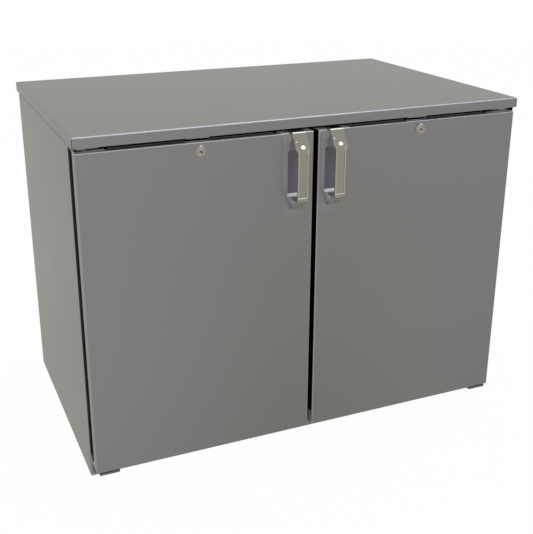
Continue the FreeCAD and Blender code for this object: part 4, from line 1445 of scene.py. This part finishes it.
@dataclass(frozen=True)
class Handle(Assembly):
    """A strap handle with its round cap, its pin and its fixings."""

    side: Side
    cap_radius: float = 6.9 * MM
    cap_squash: float = 0.76
    cap_drop: float = 2.6 * MM
    cap_height: float = 2.6 * MM
    cap_steps: int = 40
    edge: float = 1.0 * MM
    edge_steps: int = 3
    plate_out: Point = (0.0, -0.820, 0.573)
    pin_radius: float = 1.5 * MM
    pin_steps: int = 16
    pin_place: Point = (-13.5 * MM, -415.9 * MM, 882.5 * MM)
    foot_out: Point = (0.0, -0.642, -0.766)
    foot_places: tuple[Point, ...] = (
        (-4.0 * MM, -411.9 * MM, 716.2 * MM), (5.2 * MM, -413.6 * MM, 717.7 * MM),
    )
    foot_screw: Screw = Screw(2.3 * MM, 0.8 * MM, 0.4 * MM, 16)

    def dress(self) -> None:
        """Finishes the casting and breaks its edges."""
        self.bench.dress(self.side.node("handle"), Palette.HANDLE)
        self.bench.soften(self.side.node("handle"), self.edge, self.edge_steps)

    def build(self) -> None:
        """Makes the domed cap with the small pin beside it, and the screws in the foot."""
        node = self.side.node("handle_button")
        low, high = self.bench.box(node)
        middle = (low + high) / 2
        out = Vector(self.plate_out)
        shape = bmesh.new()
        h = self.cap_height
        down = Vector((0.0, -out.z, out.y))
        seat = facing(tuple(middle - out * h / 3 + down * self.cap_drop), tuple(out))
        squash = Matrix.Diagonal((1.0, self.cap_squash, 1.0, 1.0))
        lathe(shape, dome(self.cap_radius, h), seat @ squash, self.cap_steps)
        axis = Vector((self.side.sign * HANDLE_MIDDLE, 0.0, 0.0))
        pin = Vector(self.pin_place) + axis
        stud = dome(self.pin_radius, self.pin_radius / 2)
        lathe(shape, stud, facing(tuple(pin), tuple(out)), self.pin_steps)
        cap = piece_from(self.side.node("handle_cap"), shape)
        self.bench.add(cap, self.side.door, "button_metal", Palette.BUTTON, node)
        places = [(tuple(Vector(place) + axis), self.foot_out) for place in self.foot_places]
        name = self.side.node("foot_screws")
        self.foot_screw.rows(self.bench, name, self.side.door, "handle_metal", places, Palette.DARK_SCREW_AND_RECESS_SHADE)


@dataclass(frozen=True)
class Lock(Assembly):
    """A lock: its barrel in the door, the beaded ring on that, and its turning plug with the cam.

    The ring's section is given in millimetres: the radius of each point and its rise over the barrel.
    """

    side: Side
    beads: Pairs = (
        (6.9, -0.05), (6.9, 0.2), (7.1, 0.32), (7.5, 0.32), (7.8, 0.12), (8.2, 0.12),
        (8.5, 0.4), (8.9, 0.52), (9.5, 0.52), (9.9, 0.4), (10.2, 0.12), (10.8, 0.12),
        (11.1, 0.55), (11.6, 0.8), (12.4, 0.8), (13.0, 0.55), (13.4, 0.05), (13.4, -0.05),
    )
    plug_radius: float = 6.0 * MM
    plug_edge: float = 0.4 * MM
    slot_length: float = 7.4 * MM
    slot_width: float = 3.6 * MM
    slot_drop: float = 1.4 * MM
    slot_depth: float = 6.0 * MM
    slot_lean: float = 40.0
    slot_steps: int = 8
    cam_thickness: float = 3.0 * MM
    cam_chamfer: float = 3.0 * MM
    steps: int = 48

    def dress(self) -> None:
        """Finishes the barrel."""
        self.bench.dress(self.side.node("lock_barrel"), Palette.LOCK)

    def build(self) -> None:
        """Makes the ring and the plug."""
        low, high = self.bench.box(self.side.node("lock_barrel"))
        middle = (low + high) / 2
        shape = bmesh.new()
        profile = [(radius * MM, height * MM) for radius, height in self.beads]
        lathe(shape, profile, facing((middle.x, low.y, middle.z), (0, -1, 0)), self.steps)
        ring = piece_from(self.side.node("lock_ring"), shape)
        self.bench.add(ring, self.side.door, "lock_metal", Palette.LOCK)
        self._plug(middle)

    @staticmethod
    def _loop(shape: bmesh.types.BMesh, points: Sequence[tuple[float, float]], y: float) -> Ring:
        """Adds a ring of points at one depth."""
        return [shape.verts.new((x, y, z)) for x, z in points]

    @staticmethod
    def _wall(shape: bmesh.types.BMesh, near: Ring, far: Ring) -> None:
        """Joins two rings of points by a wall.

        Args:
            shape: The mesh.
            near: The ring at one end.
            far: The ring at the other end, with as many points.
        """
        for k in range(len(near)):
            j = (k + 1) % len(near)
            shape.faces.new((near[k], near[j], far[j], far[k]))

    def _plug(self, middle: Vector) -> None:
        """Makes the plug with its leaning key slot, and the cam behind it.

        Args:
            middle: A point on the lock's axis.
        """
        node = self.side.node("lock_plug")
        low, high = self.bench.box(node)
        shape = bmesh.new()
        turns = [2 * math.pi * step / self.steps for step in range(self.steps)]

        def circle(radius: float) -> list[tuple[float, float]]:
            """Points of a circle about the lock's axis."""
            spokes = [(radius * math.cos(turn), radius * math.sin(turn)) for turn in turns]
            return [(middle.x + x, middle.z + z) for x, z in spokes]

        face = self._loop(shape, circle(self.plug_radius - self.plug_edge), low.y)
        rim = self._loop(shape, circle(self.plug_radius), low.y + self.plug_edge)
        back = self._loop(shape, circle(self.plug_radius), high.y - self.cam_thickness / 2)
        self._wall(shape, face, rim)
        self._wall(shape, rim, back)
        shape.faces.new(back)
        lean = math.radians(self.slot_lean)
        along = Vector((-math.sin(lean), math.cos(lean)))
        across = Vector((math.cos(lean), math.sin(lean)))
        half, r = (self.slot_length - self.slot_width) / 2, self.slot_width / 2
        last = self.slot_steps - 1
        outline = []
        for start, end in ((0, half), (last, -half)):
            for step in range(start, start + self.slot_steps):
                turn = math.pi * step / last
                point = along * (end + r * math.sin(turn)) + across * r * math.cos(turn)
                outline.append((middle.x + point.x, middle.z - self.slot_drop + point.y))
        mouth = self._loop(shape, outline, low.y)
        floor = self._loop(shape, outline, low.y + self.slot_depth)
        self._wall(shape, mouth, floor)
        shape.faces.new(floor)
        edges = [
            shape.edges.get((loop[k], loop[k - 1])) for loop in (face, mouth) for k in range(len(loop))
        ]
        bmesh.ops.triangle_fill(shape, use_beauty=True, edges=edges)
        c = self.cam_chamfer
        corners = [
            (low.x + c, low.z), (high.x - c, low.z), (high.x, low.z + c), (high.x, high.z - c),
            (high.x - c, high.z), (low.x + c, high.z), (low.x, high.z - c), (low.x, low.z + c),
        ]
        near = self._loop(shape, corners, high.y - self.cam_thickness)
        far = self._loop(shape, corners, high.y)
        self._wall(shape, near, far)
        shape.faces.new(near)
        shape.faces.new(far)
        plug = piece_from(self.side.node("key_plug"), shape)
        self.bench.add(plug, self.side.lock, "lock_metal", Palette.PLUG, node)


@dataclass(frozen=True)
class Shelving(Assembly):
    """Coated wire shelves on slotted standards."""

    frame_radius: float = 3.5 * MM
    frame_sides: int = 12
    wire_radius: float = 2.0 * MM
    wire_sides: int = 8
    wire_count: int = 22
    bar_share: float = 0.8
    bar_sides: int = 10
    bar_count: int = 4
    centre_gap: float = 24 * MM
    corner: float = 14 * MM
    corner_steps: int = 6

    def dress(self) -> None:
        """Finishes the standards and the clips."""
        self.bench.dress("shelf_standards", Palette.ZINC)
        self.bench.dress("shelf_clips", Palette.ZINC)

    def build(self) -> None:
        """Makes both levels of shelves."""
        for level in ("lower", "upper"):
            self._level(level)

    def _level(self, level: str) -> None:
        """Makes the two shelves of one level as a pattern of wires.

        Args:
            level: Which level.
        """
        node = f"{level}_shelves"
        low, high = self.bench.box(node)
        work = Pattern(f"{level}_shelf_wires")
        width = work.size("Width", (high.x - low.x - self.centre_gap) / 2)
        depth = work.size("Depth", high.y - low.y)
        thick = work.size("Frame radius", self.frame_radius)
        thin = work.size("Wire radius", self.wire_radius)
        wires = work.size("Wires", self.wire_count, "NodeSocketInt")
        bars = work.size("Bars", self.bar_count, "NodeSocketInt")
        bend = work.size("Corner", self.corner)
        edge = work.add(
            "GeometryNodeCurvePrimitiveQuadrilateral",
            {"Width": width - 2 * thick, "Height": depth - 2 * thick},
        )
        fillet = {"Curve": edge, "Radius": bend, "Count": self.corner_steps}
        edge = work.add("GeometryNodeFilletCurve", fillet, mode="POLY")
        rim = work.wire(edge, thick, self.frame_sides)
        rise = thick + thin
        reach = depth / 2 - thick
        path = work.line(work.vector(y=-1 * reach, z=rise), work.vector(y=reach, z=rise))
        strand = work.wire(path, thin, self.wire_sides)
        span = width - 4 * thick
        step = span / (wires - 1)
        strands = work.repeat(work.row(wires, work.vector(x=-0.5 * span), work.vector(x=step)), strand)
        half = width / 2 - thick
        path = work.line(work.vector(x=-1 * half), work.vector(x=half))
        bar = work.wire(path, thick * self.bar_share, self.bar_sides)
        gap = (depth - 2 * thick) / (bars + 1)
        first = gap - depth / 2 + thick
        rungs = work.repeat(work.row(bars, work.vector(y=first), work.vector(y=gap)), bar)
        shelf = work.join(rim, strands, rungs)
        apart = work.size("Apart", (high.x - low.x + self.centre_gap) / 2)
        middle = work.size("Middle", (low.y + high.y) / 2)
        height = work.size("Height", low.z + self.frame_radius)
        start = work.vector(-0.5 * apart, middle, height)
        pair = work.repeat(work.row(2, start, work.vector(x=apart)), shelf)
        smooth = work.add("GeometryNodeSetShadeSmooth", {"Geometry": pair})
        piece = work.run(f"{level}_wire_shelves", smooth, Palette.WIRE)
        self.bench.add(piece, "cabinet", "shelf_coating", Palette.WIRE, node)


@dataclass(frozen=True)
class Evaporator(Assembly):
    """The cooling unit on the back wall, with its finned coil and its fan."""

    fin_count: int = 84
    fin_sheet: float = 0.3 * MM
    fin_margin: float = 1 * MM
    plate_sheet: float = 2.0 * MM
    bend_reach: float = 12 * MM
    tube_radius: float = 4.0 * MM
    tube_sides: int = 12
    bend_radius: float = 8.0 * MM
    bend_steps: int = 12
    levels: int = 5
    leg: float = 36 * MM
    screw: Screw = Screw(3.4 * MM, 1.6 * MM, 0.7 * MM)
    screw_inset: float = 12 * MM
    guard_inset: float = 7 * MM
    pipes: Pairs = ((-8 * MM, 4 * MM), (8 * MM, 6 * MM))
    pipe_wall: float = 0.9 * MM
    pipe_steps: int = 24
    sleeve_setback: float = 5 * MM
    sleeve_corner: float = 5 * MM
    sleeve_steps: int = 6

    def dress(self) -> None:
        """Finishes the pieces of the unit."""
        finishes = {
            "evaporator_housing": Palette.LINER, "fan_guard": Palette.BLACK, "fan_blade": Palette.FAN,
            "fan_motor": Palette.MOTOR, "drain_pan": Palette.PAN,
        }
        for name, finish in finishes.items():
            self.bench.dress(name, finish)

    def build(self) -> None:
        """Makes the coil, its tubes, the pipes and the screws on the cover and on the guard."""
        low, high = self.bench.box("evaporator_coil")
        self._fins(low, high)
        self._tubes(low, high)
        self._pipes()
        self._screws("evaporator_housing", self.screw_inset, "liner_metal")
        self._screws("fan_guard", self.guard_inset, "black_plastic")

    def _screws(self, node: str, inset: float, slot: str) -> None:
        """Puts a screw at each corner of a node's front.

        Args:
            node: The node.
            inset: How far the screws lie inside its box.
            slot: The record's material slot.
        """
        low, high = self.bench.box(node)
        corners = [
            ((x, low.y, z), (0, -1, 0))
            for x in (low.x + inset, high.x - inset) for z in (low.z + inset, high.z - inset)
        ]
        self.screw.rows(self.bench, f"{node}_screws", "cabinet", slot, corners)

    def _pipes(self) -> None:
        """Makes the two pipes that leave through the back, and the foam sleeve that they pass."""
        node = "refrigerant_lines"
        low, high = self.bench.box(node)
        _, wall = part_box("evaporator_housing")
        middle = (low + high) / 2
        shape = bmesh.new()
        long = high.y - low.y
        for rise, radius in self.pipes:
            bore = radius - self.pipe_wall
            frame = facing((middle.x, high.y, middle.z + rise), (0, 1, 0))
            profile = [(bore, -long), (radius, -long), (radius, 0.0), (bore, 0.0)]
            lathe(shape, profile, frame, self.pipe_steps)
        pipes = piece_from("copper_pipes", shape)
        self.bench.add(pipes, "cabinet", "copper", Palette.COPPER, node)
        shape = bmesh.new()
        block(shape, (low.x, wall[1], low.z), (high.x, high.y - self.sleeve_setback, high.z))
        round_off = self.sleeve_corner
        ridges = [edge for edge in shape.edges if abs(edge.verts[0].co.y - edge.verts[1].co.y) > round_off]
        bmesh.ops.bevel(
            shape, geom=ridges, offset=round_off, segments=self.sleeve_steps, profile=0.5, affect="EDGES"
        )
        sleeve = piece_from("pipe_sleeve", shape)
        self.bench.add(sleeve, "cabinet", "black_plastic", Palette.SEAL)

    def _fins(self, low: Vector, high: Vector) -> None:
        """Makes the fins and the two end plates.

        Args:
            low: Lowest corner of the coil.
            high: Its highest corner.
        """
        work = Pattern("coil_fin_rows")
        count = work.size("Fins", self.fin_count, "NodeSocketInt")
        sheet = work.size("Fin sheet", self.fin_sheet)
        plate = work.size("Plate sheet", self.plate_sheet)
        half = work.size("Half width", high.x - self.bend_reach)
        depth = work.size("Depth", high.y - low.y)
        middle = work.size("Middle", (low.y + high.y) / 2)
        top = work.size("Top", high.z)
        bottom = work.size("Bottom", low.z)
        leg = work.size("Leg", self.leg)
        tall = top - bottom - leg
        size = work.vector(sheet, depth - self.fin_margin, tall - self.fin_margin)
        fin = work.add("GeometryNodeMeshCube", {"Size": size})
        reach = half - 2 * plate
        start = work.vector(-1 * reach, middle, top - tall / 2)
        fins = work.repeat(work.row(count, start, work.vector(x=2 * reach / (count - 1))), fin)
        end = work.add("GeometryNodeMeshCube", {"Size": work.vector(plate, depth, top - bottom)})
        edge = half - plate / 2
        start = work.vector(-1 * edge, middle, (top + bottom) / 2)
        ends = work.repeat(work.row(2, start, work.vector(x=2 * edge)), end)
        coil = work.run("finned_coil", work.join(fins, ends), Palette.FIN)
        self.bench.add(coil, "cabinet", "coil_aluminium", Palette.FIN, "evaporator_coil")

    def _tubes(self, low: Vector, high: Vector) -> None:
        """Makes the tubes that run through the fins, with the bends at their ends.

        Args:
            low: Lowest corner of the coil.
            high: Its highest corner.
        """
        work = Pattern("coil_tube_rows")
        levels = work.size("Levels", self.levels, "NodeSocketInt")
        radius = work.size("Tube radius", self.tube_radius)
        bend = work.size("Bend radius", self.bend_radius)
        half = work.size("Half width", high.x - self.bend_reach)
        middle = work.size("Middle", (low.y + high.y) / 2)
        bottom = work.size("Bottom", low.z + self.leg)
        top = work.size("Top", high.z)
        step = (top - bottom) / levels
        sweep = {
            "Resolution": self.bend_steps, "Radius": bend,
            "Start Angle": -math.pi / 2, "Sweep Angle": math.pi,
        }
        arc = work.wire(work.add("GeometryNodeCurveArc", sweep), radius, self.tube_sides)
        out = work.add("GeometryNodeTransform", {"Geometry": arc, "Translation": work.vector(x=half)})
        turn = {"Geometry": arc, "Translation": work.vector(x=-1 * half), "Rotation": (0.0, 0.0, math.pi)}
        back = work.add("GeometryNodeTransform", turn)
        path = work.line(work.vector(x=-1 * half), work.vector(x=half))
        run = work.wire(path, radius, self.tube_sides)
        pair = work.repeat(work.row(2, work.vector(y=-1 * bend), work.vector(y=2 * bend)), run)
        level = work.join(out, back, pair)
        first = work.vector(y=middle, z=bottom + step / 2)
        rows = work.repeat(work.row(levels, first, work.vector(z=step)), level)
        smooth = work.add("GeometryNodeSetShadeSmooth", {"Geometry": rows})
        tubes = work.run("coil_tubes", smooth, Palette.COPPER)
        self.bench.add(tubes, "cabinet", "copper", Palette.COPPER)


@dataclass(frozen=True)
class Controls(Assembly):
    """The thermostat with its knob and the marks round it, and the light."""

    mark_count: int = 13
    mark_radius: float = 22.6 * MM
    mark_size: tuple[float, float] = (0.9 * MM, 2.6 * MM)
    mark_taper: float = 0.8
    mark_sides: int = 8
    mark_sweep: float = 270.0

    def dress(self) -> None:
        """Finishes the thermostat, the knob and the light."""
        self.bench.dress("thermostat", Palette.CONTROL)
        self.bench.dress("thermostat_knob", Palette.BLACK)
        self.bench.dress("light_strip", Palette.LENS)

    def build(self) -> None:
        """Makes the raised marks round the knob."""
        low, _ = self.bench.box("thermostat")
        knob_low, knob_high = self.bench.box("thermostat_knob")
        middle = (knob_low + knob_high) / 2
        shape = bmesh.new()
        half = Vector(self.mark_size) / 2
        waist = self.mark_taper * half.y
        profile = [(0.0, half.y), (half.x, waist), (half.x, -waist), (0.0, -half.y)]
        lathe(shape, profile, Matrix.Identity(4), self.mark_sides)
        mark = piece_from("dial_mark", shape)
        places = []
        for step in range(self.mark_count):
            turn = math.radians(self.mark_sweep * (step / (self.mark_count - 1) - 0.5))
            out = Vector((math.sin(turn), 0.0, math.cos(turn))) * self.mark_radius
            places.append(((middle.x + out.x, low.y, middle.z + out.z), (0.0, turn, 0.0)))
        marks = stamped("dial_marks", mark, Palette.INK, places)
        self.bench.add(marks, "cabinet", "control_plastic", Palette.INK)


@dataclass(frozen=True)
class Softbox:
    """One soft box of the studio."""

    name: str
    place: Point
    aim: Point
    size: tuple[float, float]
    power: float
    colour: Point


@dataclass(frozen=True)
class Studio:
    """Camera, floor, backdrop and lights."""

    camera_place: Point = (-0.9793, -2.3100, 1.3930)
    azimuth: float = -23.0086
    elevation: float = 20.0007
    focal_pixels: float = 879.78
    centre_x: float = 255.48
    centre_y: float = 240.03
    sensor: float = 36.0
    clip_end: float = 60.0
    floor_radius: float = 9.0
    floor_steps: int = 96
    floor_tones: tuple[Colour, Colour] = ((0.93, 0.93, 0.93, 1), (0.96, 0.96, 0.96, 1))
    speck_scale: float = 40.0
    speck_detail: float = 3.0
    white: Colour = (1, 1, 1, 1)
    white_share: float = 0.985
    foot: tuple[float, float] = (0.604, 0.39)
    mirrored_contact_shade: float = 0.08
    contact_reach: float = 1.0
    sky_level: float = 0.65
    room_apex: tuple[float, float] = (-0.979, 1.528)
    room_reach: float = 0.3
    room_front: tuple[float, float] = (-0.4, 0.2)
    room_stops: tuple[tuple[float, Colour], ...] = (
        (0.19, (0.98, 0.98, 0.97, 1)), (0.49, (0.80, 0.785, 0.72, 1)),
        (0.70, (0.885, 0.868, 0.82, 1)), (0.84, (0.85, 0.836, 0.81, 1)),
    )
    lamps: tuple[Softbox, ...] = (
        Softbox("front_strip", (1.4, -3.3, 1.85), (0.2, -0.4, 0.8), (3.4, 0.36), 20.0, (0.95, 0.94, 1.0)),
        Softbox("overhead_box", (0.4, 0.5, 2.9), (0.0, 0.0, 0.9), (2.4, 0.6), 20.0, (1.0, 0.985, 0.96)),
    )

    def camera(self) -> None:
        """Sets the camera where the photograph was taken from."""
        data = bpy.data.cameras.new("photo_camera")
        longest = max(PHOTO_WIDTH, PHOTO_HEIGHT)
        data.sensor_width = self.sensor
        data.lens = self.focal_pixels * self.sensor / longest
        data.shift_x = (PHOTO_WIDTH / 2 - self.centre_x) / longest
        data.shift_y = (self.centre_y - PHOTO_HEIGHT / 2) / longest
        data.clip_end = self.clip_end
        camera = bpy.data.objects.new("photo_camera", data)
        camera.location = self.camera_place
        camera.rotation_euler = (math.radians(90 - self.elevation), 0.0, math.radians(self.azimuth))
        bpy.context.scene.collection.objects.link(camera)
        bpy.context.scene.camera = camera

    @staticmethod
    def _seen(sheet: NodeSheet) -> Sock:
        """1 for the rays that show the background, 0 for those that only carry light.

        Args:
            sheet: The tree that asks.

        Returns:
            That value.
        """
        kinds = ("Is Camera Ray", "Is Glossy Ray", "Is Transmission Ray")
        camera, glossy, through = (sheet.add("ShaderNodeLightPath", out=kind) for kind in kinds)
        return camera.most(glossy).most(through)

    def world(self) -> None:
        """Fills the room with soft white light."""
        world = bpy.data.worlds.new("studio")
        world.use_nodes = True
        sheet = NodeSheet(world.node_tree)
        seen = self._seen(sheet)
        level = self.sky_level + (1 - self.sky_level) * seen
        light = sheet.add("ShaderNodeBackground", None, {"Color": self.white, "Strength": level})
        sheet.add("ShaderNodeOutputWorld", None, {"Surface": light})
        bpy.context.scene.world = world

    def floor(self) -> None:
        """Lays a pale floor that keeps a soft shadow."""
        shape = bmesh.new()
        bmesh.ops.create_circle(shape, cap_ends=True, segments=self.floor_steps, radius=self.floor_radius)
        floor = piece_from("floor", shape)
        material = bpy.data.materials.new("pale_floor")
        material.use_nodes = True
        sheet = NodeSheet(material.node_tree)
        speck = sheet.noise(sheet.place(), self.speck_scale, self.speck_detail)
        tone = sheet.blend(speck, *self.floor_tones)
        matt = sheet.add("ShaderNodeBsdfDiffuse", None, {"Color": tone})
        glossy = sheet.add("ShaderNodeLightPath", out="Is Glossy Ray")
        white = sheet.blend(glossy, self.white, self._room(sheet))
        # Painted contact shadow: the floor as mirrors see it is dimmed near the cabinet's foot.
        level = 1 - self.mirrored_contact_shade * glossy * (1 - self._away(sheet))
        glow = sheet.add("ShaderNodeEmission", None, {"Color": white, "Strength": level})
        share = self.white_share * self._seen(sheet)
        mixed = sheet.add("ShaderNodeMixShader", None, {0: share, 1: matt, 2: glow})
        sheet.add("ShaderNodeOutputMaterial", None, {"Surface": mixed})
        floor.data.materials.append(material)

    def _away(self, sheet: NodeSheet) -> Sock:
        """How far a point of the floor lies from the cabinet: 0 beside it, 1 out of its reach.

        Args:
            sheet: The floor's tree.

        Returns:
            That value.
        """
        x, y = sheet.along("X"), sheet.along("Y")
        beside = x.most(-1 * x) - self.foot[0]
        before = y.most(-1 * y) - self.foot[1]
        return beside.most(before).smooth(0.0, self.contact_reach)

    def _room(self, sheet: NodeSheet) -> Sock:
        """The studio floor as polished metal mirrors it, a little dimmer in front of the middle.

        Args:
            sheet: The floor's tree.

        Returns:
            The colour at each point.
        """
        apex_x, apex_y = self.room_apex
        lean = (sheet.along("X") - apex_x) / (apex_y - sheet.along("Y")).most(self.room_reach)
        ramp = sheet.add("ShaderNodeValToRGB", {"stops": self.room_stops}, {0: lean})
        front = 1 - sheet.along("Y").smooth(*self.room_front)
        return sheet.blend(front, self.white, ramp)

    def lamp(self, lamp: Softbox) -> None:
        """Hangs one soft box.

        Args:
            lamp: The box.
        """
        data = bpy.data.lights.new(lamp.name, "AREA")
        data.shape = "RECTANGLE"
        data.size, data.size_y = lamp.size
        data.energy = lamp.power
        data.color = lamp.colour
        hung = bpy.data.objects.new(lamp.name, data)
        hung.location = lamp.place
        hung.rotation_euler = (Vector(lamp.aim) - Vector(lamp.place)).to_track_quat("-Z", "Y").to_euler()
        hung.visible_camera = False
        bpy.context.scene.collection.objects.link(hung)

    def build(self) -> None:
        """Sets up the whole studio."""
        bpy.context.scene.view_settings.view_transform = "Standard"
        self.camera()
        self.world()
        self.floor()
        for lamp in self.lamps:
            self.lamp(lamp)
        LOG.info("studio ready")


def main() -> None:
    """Loads the frame, dresses and builds every sub-assembly, and sets up the studio."""
    logging.basicConfig(level=logging.INFO, format="%(message)s")
    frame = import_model()
    bench = Bench(frame)
    cabinet = (Worktop, Shell, Hinges, Shelving, Evaporator, Controls)
    assemblies: list[Assembly] = [kind(bench) for kind in cabinet]
    for side in Side:
        assemblies += [Door(bench, side), Handle(bench, side), Lock(bench, side)]
    for assembly in assemblies:
        assembly.dress()
        assembly.build()
        LOG.info("%s done", type(assembly).__name__)
    Studio().build()


if __name__ == "__main__":
    main()
